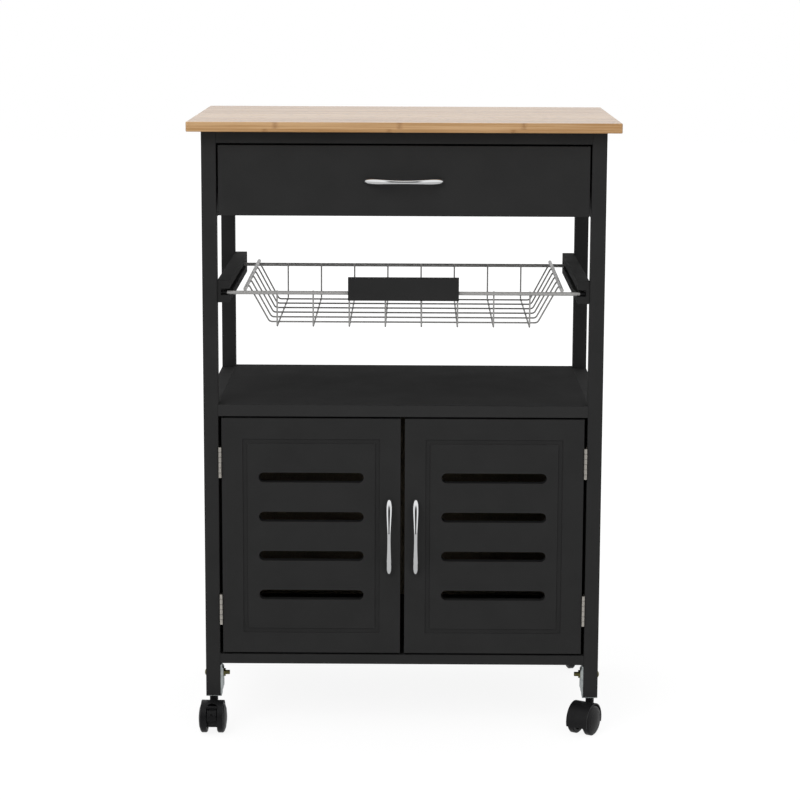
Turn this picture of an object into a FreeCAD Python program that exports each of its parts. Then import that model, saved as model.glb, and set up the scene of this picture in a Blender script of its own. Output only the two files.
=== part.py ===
import FreeCAD, Part
import math
import os
import re

import Sketcher

# Kitchen cart: a bamboo worktop on a black frame of four legs, with a drawer, a pull-out wire
# basket, a closed cabinet with two louvred doors, and four twin-wheel casters.
# Millimetres. X runs to the right, Y to the back, Z up. The origin lies on the floor, under the
# middle of the worktop.

Vector = FreeCAD.Vector
Rotation = FreeCAD.Rotation
Placement = FreeCAD.Placement

UP = Vector(0, 0, 1)
RIGHT = Vector(1, 0, 0)
BACK = Vector(0, 1, 0)
OVERSHOOT = 1.0
FLAT = 1e-6

SIZES = [
    ("overall_height", 846.0, "floor to the top of the worktop"),
    ("top_length", 580.0, "worktop, left to right"),
    ("top_depth", 400.0, "worktop, front to back"),
    ("top_thickness", 13.2, "worktop board"),
    ("top_corner", 3.0, "rounding of the worktop's upright corners"),
    ("top_arris", 1.2, "rounding of the worktop's upper and lower edges"),
    ("frame_width", 544.0, "outside of the left legs to outside of the right legs"),
    ("frame_depth", 350.0, "front of the front legs to back of the back legs"),
    ("leg_size", 20.0, "square section of a leg"),
    ("leg_arris", 1.2, "rounding of a leg's long edges"),
    ("board_arris", 0.8, "rounding of the edges of boards that show"),
    ("rail_height", 16.5, "front rail under the worktop"),
    ("rail_depth", 18.0, "front rail under the worktop"),
    ("apron_height", 113.5, "board behind the drawer"),
    ("side_apron_height", 124.1, "boards at the drawer bay's sides"),
    ("apron_thickness", 12.0, "boards round the drawer bay"),
    ("apron_inset", 2.0, "setback of the aprons from the legs' outer faces"),
    ("shelf_top", 461.0, "height of the open shelf"),
    ("shelf_thickness", 16.0, "open shelf, which is also the cabinet's top"),
    ("floor_lift", 45.9, "cabinet floor's underside above the legs' lower ends"),
    ("floor_thickness", 13.5, "cabinet floor"),
    ("side_rail_height", 30.0, "upper and lower rails of the cabinet's sides"),
    ("side_panel_thickness", 5.0, "thin panel of the cabinet's sides"),
    ("side_panel_inset", 8.0, "setback of that panel from the legs' outer faces"),
    ("back_panel_thickness", 5.0, "cabinet back"),
    ("back_panel_inset", 8.0, "setback of the cabinet back from the back legs"),
    ("door_thickness", 15.0, "both doors"),
    ("door_side_gap", 4.2, "between a door and its leg"),
    ("door_top_gap", 2.5, "between the doors and the shelf"),
    ("door_bottom_gap", 2.5, "between the doors and the cabinet floor"),
    ("door_centre_gap", 5.5, "between the two doors"),
    ("groove_margin", 28.5, "from a door's edge to its routed groove"),
    ("groove_width", 6.8, "routed groove"),
    ("groove_depth", 2.0, "routed groove"),
    ("groove_cove", 1.4, "rounding of the groove's bottom edges"),
    ("slot_length", 144.0, "vent slot, overall"),
    ("slot_height", 14.0, "vent slot"),
    ("slot_pitch", 55.0, "from one vent slot to the next"),
    ("slot_count", 4, "vent slots in a door"),
    ("drawer_front_thickness", 15.0, "drawer front"),
    ("drawer_front_height", 94.5, "drawer front"),
    ("drawer_side_gap", 2.5, "between the drawer front and a leg"),
    ("drawer_top_gap", 2.5, "between the drawer front and the front rail"),
    ("drawer_wall", 12.0, "drawer sides and back"),
    ("drawer_wall_lift", 9.5, "drawer walls above the lower edge of the front"),
    ("drawer_wall_drop", 13.0, "drawer walls below the upper edge of the front"),
    ("drawer_box_gap", 4.0, "between the drawer box and a leg"),
    ("drawer_back_gap", 21.0, "between the drawer box and the back board"),
    ("drawer_bottom_thickness", 3.2, "drawer bottom sheet"),
    ("drawer_bottom_lift", 6.0, "drawer bottom above the lower edge of the walls"),
    ("housing_depth", 5.0, "depth of the groove that holds the drawer bottom"),
    ("runner_height", 12.0, "drawer runner strip"),
    ("runner_lift", 30.0, "drawer runner above the lower edge of the walls"),
    ("runner_engagement", 6.0, "reach of the drawer runner into a drawer side"),
    ("runner_front_gap", 0.5, "between a drawer runner and the front leg"),
    ("running_clearance", 0.3, "between parts that slide on each other"),
    ("fit_clearance", 0.1, "between parts that are fixed in each other or turn on a pin"),
    ("track_drop", 87.9, "top of the basket tracks below the drawer front"),
    ("track_height", 30.4, "basket track"),
    ("track_width", 17.0, "basket track, measured from the leg"),
    ("track_setback", 3.0, "front end of a basket track behind the legs' front"),
    ("track_groove_lift", 10.1, "groove above the track's underside"),
    ("track_groove_height", 8.6, "groove"),
    ("track_groove_depth", 12.0, "groove"),
    ("track_stop", 5.0, "closed rear end of the groove"),
    ("rod_diameter", 5.0, "basket's front, back and side rods"),
    ("rod_play", 5.0, "end of a rod short of the bottom of its groove"),
    ("basket_front", 10.0, "front rod behind the front of the legs"),
    ("basket_back_gap", 35.0, "back rod from the closed end of the groove"),
    ("basket_side_gap", 20.5, "side rod from the face of the track"),
    ("basket_drop", 49.0, "side rods down to the long wires' level stretch"),
    ("basket_flare", 31.0, "side rod out from the edge of the basket's floor"),
    ("wire_diameter", 2.2, "basket wires"),
    ("wire_bend", 6.0, "bend radius of the long wires at their centre line"),
    ("cross_wire_bend", 3.0, "bend radius of the cross wires at their centre line"),
    ("long_wire_count", 6, "wires that run left to right"),
    ("long_wire_inset", 31.25, "outermost of those wires from the front or back rod"),
    ("cross_wire_count", 8, "wires that run front to back"),
    ("cross_wire_inset", 12.0, "outermost of those wires from the edge of the floor"),
    ("grip_length", 150.0, "flat grip on the basket's front"),
    ("grip_height", 31.0, "flat grip"),
    ("grip_thickness", 11.0, "flat grip"),
    ("grip_lift", 6.1, "middle of the grip above the front rod"),
    ("grip_arris", 1.0, "rounding of the grip's edges"),
    ("handle_centres", 96.0, "between the two feet of a bow handle"),
    ("handle_projection", 23.0, "bow handle, from the face that it stands on"),
    ("handle_slope", 1.3, "power of the bow's arch: 1 is half an oval, more leaves the feet at a slant"),
    ("handle_foot_length", 13.0, "foot of a bow handle, along the handle"),
    ("handle_foot_width", 10.0, "foot of a bow handle, across it"),
    ("handle_grip_width", 5.4, "middle of a bow handle, across it"),
    ("handle_grip_thickness", 4.6, "middle of a bow handle"),
    ("door_handle_inset", 15.5, "door handle from the door's free edge"),
    ("handle_screw", 4.0, "shank of a handle screw"),
    ("handle_screw_depth", 5.0, "reach of that screw into the handle's foot"),
    ("handle_screw_head", 8.0, "head of a handle screw"),
    ("handle_screw_head_height", 2.4, "head of a handle screw"),
    ("hinge_length", 43.0, "butt hinge"),
    ("hinge_knuckle", 4.4, "outside of the knuckles"),
    ("hinge_pin", 2.2, "hinge pin"),
    ("hinge_forward", 1.5, "hinge pin in front of the doors' front face"),
    ("hinge_leaf", 1.2, "thickness of a hinge leaf"),
    ("hinge_leaf_width", 13.5, "hinge leaf behind the doors' front face"),
    ("hinge_knuckle_count", 6, "knuckles of a hinge, both leaves together"),
    ("hinge_end", 61.5, "middle of a hinge from the door's nearer end"),
    ("catch_length", 40.0, "magnetic catch"),
    ("catch_depth", 13.0, "magnetic catch"),
    ("catch_height", 10.0, "magnetic catch"),
    ("catch_window_length", 24.0, "magnet's window in the catch"),
    ("catch_window_height", 4.0, "magnet's window in the catch"),
    ("catch_window_depth", 2.0, "magnet's window in the catch"),
    ("catch_offset", 34.0, "middle of a catch from the doors' meeting line"),
    ("strike_length", 36.0, "strike plate on a door"),
    ("strike_height", 11.0, "strike plate on a door"),
    ("strike_thickness", 1.0, "strike plate on a door"),
    ("screw_diameter", 5.0, "shank of a frame screw"),
    ("screw_head", 9.0, "countersunk head of a frame screw"),
    ("screw_bite", 28.0, "reach of a frame screw into a board's end"),
    ("screw_socket", 4.0, "hexagon socket, across flats"),
    ("bracket_thickness", 1.5, "caster bracket sheet"),
    ("bracket_width", 18.0, "caster bracket, front to back"),
    ("bracket_flange", 4.0, "folded edges of the caster bracket, out from the leg"),
    ("bracket_taper", 12.0, "height over which those edges widen from the bracket's foot"),
    ("bracket_shoulder", 6.0, "height over which those edges narrow to the bracket's top"),
    ("bracket_gap", 2.5, "bracket's upper end below the cabinet floor"),
    ("bolt_diameter", 6.0, "caster bolt"),
    ("bolt_lift", 30.5, "caster bolt above the leg's lower end"),
    ("bolt_head", 10.6, "domed head of the caster bolt"),
    ("bolt_head_rise", 2.4, "domed head of the caster bolt"),
    ("bolt_reach", 12.4, "bolt end beyond the leg's inner face"),
    ("nut_flats", 10.0, "caster nut across flats"),
    ("nut_thickness", 5.0, "caster nut"),
    ("stem_diameter", 7.8, "caster stem"),
    ("stem_bolt_gap", 4.0, "between the caster stem's upper end and the bolt"),
    ("stem_depth", 17.6, "caster stem below the top of the caster's boss"),
    ("trail", 17.5, "wheel axle from the swivel axis"),
    ("wheel_diameter", 42.0, "caster wheel"),
    ("wheel_inner", 7.0, "inner face of a wheel from the caster's middle"),
    ("wheel_tread", 9.0, "width of a wheel's tread"),
    ("wheel_rounding", 1.4, "bevel of the tread's edges"),
    ("wheel_rim", 5.0, "thickness of a wheel's rim"),
    ("wheel_hub_wall", 3.0, "wall of a wheel's hub round the axle"),
    ("wheel_web", 3.6, "wall between a wheel's dished side and its outer face"),
    ("wheel_cap_margin", 2.5, "outer cap's edge inside the tread"),
    ("wheel_cap_step", 0.7, "outer cap's edge beyond the tread"),
    ("wheel_crown", 2.9, "rise of the outer cap's dome"),
    ("wheel_end_wall", 1.0, "blind end of a wheel's bore inside the tread's outer edge"),
    ("axle_diameter", 5.0, "steel axle of a caster"),
    ("axle_end_gap", 0.4, "axle's end short of the blind end of a wheel's bore"),
    ("hood_gap", 1.2, "between a wheel and the caster's hood"),
    ("hood_wall", 2.0, "wall of the hood"),
    ("hood_inset", 0.5, "hood's edge inside the tread's outer edge"),
    ("hood_lip", 14.0, "height of the hood's lower edges"),
    ("web_gap", 0.4, "between a wheel and the web in the caster's middle"),
    ("web_radius", 13.8, "web round the axle"),
    ("web_start", 10.0, "degrees, where the web under the hood starts above the level of the axle"),
    ("boss_diameter", 11.6, "upright boss round the stem"),
    ("boss_rise", 3.6, "boss above the hood"),
    ("boss_rounding", 1.0, "rounding of the boss's upper edge"),
    ("swivel_gap", 0.3, "between the boss and the bracket"),
    ("recess_width", 15.4, "arched recess in the hood for the brake lever"),
    ("recess_floor", 16.5, "radius of the web under that recess"),
    ("recess_end", 68.0, "degrees, crown of that recess above the level of the axle"),
    ("lever_gap", 0.7, "between a wheel and the brake lever"),
    ("lever_thickness", 1.8, "brake lever's flap"),
    ("lever_sink", 0.6, "brake lever's flap below the hood's outer face"),
    ("lever_start", 4.0, "degrees, lower end of that flap above the level of the axle"),
    ("lever_end", 58.0, "degrees, upper end of that flap"),
    ("lever_arm", 7.0, "brake lever's arm, along the axle"),
    ("lever_arm_depth", 4.6, "brake lever's arm, round the axle"),
    ("lever_arm_angle", 44.0, "degrees, where the arm meets the flap"),
    ("lever_window", 3.6, "square hole in the flap"),
    ("lever_window_angle", 24.0, "degrees, middle of that hole"),
    ("lever_hub", 6.4, "brake lever's eye round its pin"),
    ("lever_pin", 3.0, "brake lever's pin"),
    ("lever_pin_radius", 12.0, "brake lever's pin from the axle"),
    ("lever_pin_angle", 25.0, "degrees, brake lever's pin above the level of the axle"),
    ("pad_width", 14.0, "brake lever's foot pad"),
    ("pad_reach", 29.0, "tip of the foot pad from the axle"),
    ("pad_tip", 0.8, "step between the two edges of the foot pad's tip"),
    ("pad_start", 43.0, "degrees, underside of the foot pad"),
    ("pad_end", 56.0, "degrees, root of the foot pad's upper side"),
    ("pad_slope", 4.0, "degrees, between the two edges of the foot pad's tip"),
    ("swivel_front_left", -91.0, "degrees, direction in which the wheels trail"),
    ("swivel_front_right", -120.0, "degrees, direction in which the wheels trail"),
    ("swivel_back_left", 80.0, "degrees, direction in which the wheels trail"),
    ("swivel_back_right", -79.0, "degrees, direction in which the wheels trail"),
]

doc = FreeCAD.newDocument("kitchen_cart")
sheet = doc.addObject("Spreadsheet::Sheet", "Dimensions")
for row, (alias, number, meaning) in enumerate(SIZES, start=1):
    sheet.set("A%d" % row, alias)
    sheet.set("B%d" % row, str(number))
    sheet.set("C%d" % row, meaning)
    sheet.setAlias("B%d" % row, alias)
doc.recompute()

ALIASES = {alias for alias, number, meaning in SIZES}
NODES = []

# Sizes and places that follow from the driving dimensions.
INNER_HALF = "(frame_width/2 - leg_size)"
LEG_X = "((frame_width - leg_size)/2)"
LEG_Y = "((frame_depth - leg_size)/2)"
FRONT = "(-frame_depth/2)"
REAR = "(frame_depth/2)"
LEG_TOP = "(overall_height - top_thickness)"
AXLE_Z = "(wheel_diameter/2)"
HOOD_INNER = "(wheel_diameter/2 + hood_gap)"
HOOD_OUTER = "(wheel_diameter/2 + hood_gap + hood_wall)"
BOSS_TOP = "(wheel_diameter + hood_gap + hood_wall + boss_rise)"
BRACKET_LOW = f"({BOSS_TOP} + swivel_gap)"
LEG_BOTTOM = f"({BRACKET_LOW} + bracket_thickness)"
BOLT_Z = f"({LEG_BOTTOM} + bolt_lift)"
STEM_TOP = f"({BOLT_Z} - bolt_diameter/2 - stem_bolt_gap)"
STEM_BOTTOM = f"({BOSS_TOP} - stem_depth)"
WHEEL_SHOULDER = "(wheel_inner + wheel_tread)"
FLOOR_LOW = f"({LEG_BOTTOM} + floor_lift)"
FLOOR_HIGH = f"({FLOOR_LOW} + floor_thickness)"
SHELF_LOW = "(shelf_top - shelf_thickness)"
APRON_LOW = f"({LEG_TOP} - apron_height)"
DOOR_LOW = f"({FLOOR_HIGH} + door_bottom_gap)"
DOOR_HEIGHT = f"({SHELF_LOW} - door_top_gap - {DOOR_LOW})"
DOOR_WIDTH = f"({INNER_HALF} - door_side_gap - door_centre_gap/2)"
DOOR_BACK = f"({FRONT} + door_thickness)"
DRAWER_LOW = f"({LEG_TOP} - rail_height - drawer_top_gap - drawer_front_height)"
WALL_LOW = f"({DRAWER_LOW} + drawer_wall_lift)"
WALL_HEIGHT = "(drawer_front_height - drawer_wall_lift - drawer_wall_drop)"
BOX_HALF = f"({INNER_HALF} - drawer_box_gap)"
BOX_INNER = f"({BOX_HALF} - drawer_wall)"
BOX_FRONT = f"({FRONT} + drawer_front_thickness)"
BOX_REAR = f"({REAR} - apron_inset - apron_thickness - drawer_back_gap)"
SHEET_LOW = f"({WALL_LOW} + drawer_bottom_lift)"
TRACK_FACE = f"({INNER_HALF} - track_width)"
ROD_HALF = f"({TRACK_FACE} + track_groove_depth - rod_play)"
TRACK_LOW = f"({DRAWER_LOW} - track_drop - track_height)"
ROD_Z = f"({TRACK_LOW} + track_groove_lift + running_clearance + rod_diameter/2)"
BACK_ROD_RISE = "(track_groove_height - rod_diameter - 2*running_clearance)"
ROD_FRONT = f"({FRONT} + basket_front)"
ROD_REAR = f"({REAR} - track_stop - basket_back_gap)"
SIDE_ROD_X = f"({TRACK_FACE} - basket_side_gap)"
SIDE_ROD_Z = f"({ROD_Z} + rod_diameter)"
HINGE_X = f"({INNER_HALF} - door_side_gap/2)"
HINGE_Y = f"({FRONT} - hinge_forward)"

SIDES = (("left", -1), ("right", 1))
ENDS = (("front", -1), ("back", 1))


def in_sheet(formula):
    """Write a formula with each alias as a reference to its cell."""
    return re.sub(r"[a-z_]+", lambda found: "Dimensions." + found[0] if found[0] in ALIASES else found[0],
                  str(formula))


def size(formula):
    """Work a formula out to a plain number."""
    return float(sheet.evalExpression(in_sheet(formula)))


def bind(thing, prop, formula):
    """Bind a property to a formula of the sheet's cells."""
    thing.setExpression(prop, in_sheet(formula))


def place(thing, x, y, z, turn=None):
    """Bind where a thing stands, and its turn about the upright axis in degrees."""
    if turn is not None:
        thing.Placement = Placement(Vector(), Rotation(UP, 1.0))
        bind(thing, "Placement.Rotation.Angle", turn)
    for axis, formula in zip("xyz", (x, y, z)):
        bind(thing, "Placement.Base." + axis, formula)


def point_along(thing, direction, x, y, z):
    """Turn a thing's own Z axis to a direction and bind where it starts."""
    thing.Placement = Placement(Vector(), Rotation(UP, direction))
    for axis, formula in zip("xyz", (x, y, z)):
        bind(thing, "Placement.Base." + axis, formula)


def node(thing, label):
    """Name a finished sub-part, which is written to a file of that name."""
    thing.Label = label
    NODES.append(thing)


def block(name, length, width, height, x, y, z):
    """Make a block from its sizes, the middle of its plan and the height of its underside."""
    thing = doc.addObject("Part::Box", name)
    bind(thing, "Length", length)
    bind(thing, "Width", width)
    bind(thing, "Height", height)
    place(thing, f"{x} - ({length})/2", f"{y} - ({width})/2", z)
    return thing


def rod(name, radius, length, x, y, z, direction=UP):
    """Make a round bar that starts at a bound point and runs in a direction."""
    thing = doc.addObject("Part::Cylinder", name)
    bind(thing, "Radius", radius)
    bind(thing, "Height", length)
    point_along(thing, direction, x, y, z)
    return thing


def hexagon(name, flats, length, x, y, z, direction):
    """Make a six-sided bar from its width across flats."""
    thing = doc.addObject("Part::Prism", name)
    thing.Polygon = 6
    bind(thing, "Circumradius", f"{flats}/sqrt(3)")
    bind(thing, "Height", length)
    point_along(thing, direction, x, y, z)
    return thing


def fuse(name, *shapes):
    """Join shapes into one solid."""
    whole = doc.addObject("Part::MultiFuse", name)
    whole.Shapes = list(shapes)
    whole.Refine = True
    return whole


def cut(name, base, *tools):
    """Take tools away from a base."""
    result = doc.addObject("Part::Cut", name)
    result.Base = base
    result.Tool = tools[0] if len(tools) == 1 else fuse(name + "_tools", *tools)
    return result


def group(name, shapes):
    """Keep separate solids together in one node."""
    result = doc.addObject("Part::Compound", name)
    result.Links = list(shapes)
    return result


def fixed_shape(name, shape):
    """Put a shape that was worked out from the sheet's numbers into the document."""
    thing = doc.addObject("Part::Feature", name)
    thing.Shape = shape
    return thing


def new_sketch(body, name, role):
    """Start a sketch on one of a body's origin planes."""
    sketch = body.newObject("Sketcher::SketchObject", name)
    origin_plane = next(plane for plane in body.Origin.OriginFeatures if plane.Role == role)
    sketch.AttachmentSupport = [(origin_plane, "")]
    sketch.MapMode = "FlatFace"
    return sketch


def hold_at(sketch, kind, edge, point, formula):
    """Hold a point of a sketch at one bound distance from the sketch's origin."""
    if formula == "0":
        axis_line = -2 if kind == "DistanceX" else -1
        sketch.addConstraint(Sketcher.Constraint("PointOnObject", edge, point, axis_line))
        return
    number = sketch.addConstraint(Sketcher.Constraint(kind, -1, 1, edge, point, size(formula)))
    bind(sketch, "Constraints[%d]" % number, formula)


def hold(sketch, edge, point, x, y):
    """Hold a point of a sketch at bound distances from both of the sketch's axes."""
    hold_at(sketch, "DistanceX", edge, point, x)
    hold_at(sketch, "DistanceY", edge, point, y)


def polygon(sketch, corners):
    """Draw a closed outline of straight lines through bound corners."""
    first = sketch.GeometryCount
    count = len(corners)
    spots = [Vector(size(x), size(y), 0) for x, y in corners]
    for i in range(count):
        sketch.addGeometry(Part.LineSegment(spots[i], spots[(i + 1) % count]), False)
    for i in range(count):
        following = first + (i + 1) % count
        sketch.addConstraint(Sketcher.Constraint("Coincident", first + i, 2, following, 1))
        hold(sketch, first + i, 1, *corners[i])


def rectangle(sketch, half_length, half_width):
    """Draw a rectangle about the sketch's origin."""
    polygon(sketch, [(f"-({half_length})", f"-({half_width})"), (half_length, f"-({half_width})"),
                     (half_length, half_width), (f"-({half_length})", half_width)])


def feature(body, kind, sketch, length, name, backwards=False):
    """Pad or pocket a sketch by a bound length."""
    result = body.newObject("PartDesign::" + kind, name)
    result.Profile = sketch
    bind(result, "Length", length)
    result.Reversed = backwards
    doc.recompute()
    return result


def along(letter):
    """Return a test for straight edges parallel to an axis."""
    def test(edge):
        spans = {"x": edge.BoundBox.XLength, "y": edge.BoundBox.YLength, "z": edge.BoundBox.ZLength}
        long_way = spans.pop(letter)
        return long_way > 1.0 and max(spans.values()) < FLAT
    return test


def level(edge):
    """Say whether an edge lies level."""
    return edge.BoundBox.ZLength < FLAT


def in_front(edge):
    """Say whether an edge lies in the front face of a body that starts at its own Y origin."""
    return edge.BoundBox.YMax < FLAT


def round_edges(body, base, test, radius, name):
    """Round the edges of a body's last feature that pass a test."""
    chosen = ["Edge%d" % (i + 1) for i, edge in enumerate(base.Shape.Edges) if test(edge)]
    rounding = body.newObject("PartDesign::Fillet", name)
    rounding.Base = (base, chosen)
    bind(rounding, "Radius", radius)
    doc.recompute()
    return rounding


def bore(body, radius, depth, x, y, z, direction, name):
    """Drill a round hole into a body from a bound point in a direction."""
    tool = body.newObject("PartDesign::SubtractiveCylinder", name)
    bind(tool, "Radius", radius)
    bind(tool, "Height", depth)
    point_along(tool, direction, x, y, z)


def board(label, length, width, height, x, y, z, rounded=None):
    """Make a board on a sketch of its plan, with an optional rounding of its edges along X."""
    body = doc.addObject("PartDesign::Body", label + "_body")
    sketch = new_sketch(body, "Plan", "XY_Plane")
    rectangle(sketch, f"({length})/2", f"({width})/2")
    base = feature(body, "Pad", sketch, height, "Board")
    if rounded:
        round_edges(body, base, along("x"), rounded, "Arrises")
    place(body, x, y, z)
    node(body, label)
    return body


def make_worktop():
    """Bamboo board with softly rounded corners and edges."""
    body = board("worktop", "top_length", "top_depth", "top_thickness", "0", "0", LEG_TOP)
    corners = round_edges(body, body.Tip, along("z"), "top_corner", "Corners")
    round_edges(body, corners, level, "top_arris", "Arrises")


def frame_screw_places(end_name, end):
    """List the depth and height of the screws that go through a leg into the boards' ends."""
    leg_y = f"{end}*{LEG_Y}"
    places = [(leg_y, f"({FLOOR_LOW} + floor_thickness/2)"), (leg_y, f"({SHELF_LOW} + shelf_thickness/2)")]
    if end_name == "front":
        places.append((f"({FRONT} + rail_depth/2)", f"({LEG_TOP} - rail_height/2)"))
    else:
        places.append((f"({REAR} - apron_inset - apron_thickness/2)", f"({LEG_TOP} - apron_height/2)"))
    return places


def make_leg(side_name, side, end_name, end):
    """Square leg, drilled for the caster stem, the caster bolt and three frame screws."""
    body = doc.addObject("PartDesign::Body", "leg_body")
    sketch = new_sketch(body, "Section", "XY_Plane")
    rectangle(sketch, "leg_size/2", "leg_size/2")
    base = feature(body, "Pad", sketch, f"{LEG_TOP} - {LEG_BOTTOM}", "Leg")
    round_edges(body, base, along("z"), "leg_arris", "Arrises")
    bore(body, "stem_diameter/2 + fit_clearance", f"{STEM_TOP} - {LEG_BOTTOM} + fit_clearance",
         "0", "0", "0", UP, "StemHole")
    outer = f"{side}*leg_size/2"
    inward = RIGHT * -side
    bore(body, "bolt_diameter/2 + fit_clearance", "leg_size", outer, "0", "bolt_lift", inward, "BoltHole")
    for number, (y, z) in enumerate(frame_screw_places(end_name, end)):
        spot = (outer, f"{y} - {end}*{LEG_Y}", f"{z} - {LEG_BOTTOM}")
        bore(body, "screw_diameter/2 + fit_clearance", "leg_size", *spot, inward, "ScrewHole%d" % number)
        sink = body.newObject("PartDesign::SubtractiveCone", "Countersink%d" % number)
        bind(sink, "Radius1", "screw_head/2 + fit_clearance")
        bind(sink, "Radius2", "screw_diameter/2 + fit_clearance")
        bind(sink, "Height", "(screw_head - screw_diameter)/2")
        point_along(sink, inward, *spot)
    place(body, f"{side}*{LEG_X}", f"{end}*{LEG_Y}", LEG_BOTTOM)
    node(body, f"leg_{end_name}_{side_name}")


def make_cross_board(label, depth, height, y, z, ends, rounded=None):
    """Board from the left legs to the right legs, drilled at both ends for the frame screws."""
    body = board(label, f"2*{INNER_HALF}", depth, height, "0", y, z, rounded)
    for end_name, end in ends:
        for screw_y, screw_z in frame_screw_places(end_name, end):
            if not size(z) < size(screw_z) < size(f"{z} + {height}"):
                continue
            for side_name, side in SIDES:
                bore(body, "screw_diameter/2 + fit_clearance", "screw_bite + fit_clearance",
                     f"{side}*{INNER_HALF}", f"{screw_y} - {y}", f"{screw_z} - {z}", RIGHT * -side,
                     f"{end_name}_{side_name}_screw_hole")


def make_cross_boards():
    """Front rail, back board, shelf, cabinet floor and cabinet back."""
    front, back = ENDS
    make_cross_board("front_top_rail", "rail_depth", "rail_height", f"({FRONT} + rail_depth/2)",
                     f"({LEG_TOP} - rail_height)", [front], "board_arris")
    make_cross_board("back_board", "apron_thickness", "apron_height",
                     f"({REAR} - apron_inset - apron_thickness/2)", APRON_LOW, [back], "board_arris")
    make_cross_board("shelf_board", "frame_depth", "shelf_thickness", "0", SHELF_LOW, ENDS, "board_arris")
    make_cross_board("cabinet_floor", "frame_depth", "floor_thickness", "0", FLOOR_LOW, ENDS, "board_arris")
    make_cross_board("cabinet_back", "back_panel_thickness", f"({SHELF_LOW} - {FLOOR_HIGH})",
                     f"({REAR} - back_panel_inset - back_panel_thickness/2)", FLOOR_HIGH, [])


def make_side_boards():
    """Aprons, cabinet rails and cabinet panels between the two legs of each side."""
    span = "frame_depth - 2*leg_size"
    aprons = []
    rails = []
    panels = []
    for side_name, side in SIDES:
        aprons.append(block("apron", "apron_thickness", span, "side_apron_height",
                            f"{side}*(frame_width/2 - apron_inset - apron_thickness/2)", "0",
                            f"{LEG_TOP} - side_apron_height"))
        for low in ("shelf_top - side_rail_height", FLOOR_LOW):
            rails.append(block("side_rail", "leg_size", span, "side_rail_height", f"{side}*{LEG_X}", "0", low))
        panel_x = f"{side}*(frame_width/2 - side_panel_inset - side_panel_thickness/2)"
        panels.append(block("side_panel", "side_panel_thickness", span,
                            f"shelf_top - {FLOOR_LOW} - 2*side_rail_height", panel_x, "0",
                            f"{FLOOR_LOW} + side_rail_height"))
    node(group("aprons", aprons), "side_aprons")
    node(group("rails", rails), "cabinet_side_rails")
    node(group("panels", panels), "cabinet_side_panels")


def make_frame_screws():
    """Countersunk furniture screws with a hexagon socket, through the legs into the boards' ends."""
    screws = []
    for side_name, side in SIDES:
        inward = RIGHT * -side
        for end_name, end in ENDS:
            for y, z in frame_screw_places(end_name, end):
                spot = (f"{side}*frame_width/2", y, z)
                shank = rod("shank", "screw_diameter/2", "leg_size + screw_bite", *spot, inward)
                head = doc.addObject("Part::Cone", "head")
                bind(head, "Radius1", "screw_head/2")
                bind(head, "Radius2", "screw_diameter/2")
                bind(head, "Height", "(screw_head - screw_diameter)/2")
                point_along(head, inward, *spot)
                socket = hexagon("socket", "screw_socket", "screw_socket/2", *spot, inward)
                screws.append(cut("screw", fuse("blank", shank, head), socket))
    node(group("screws", screws), "frame_screws")


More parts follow.
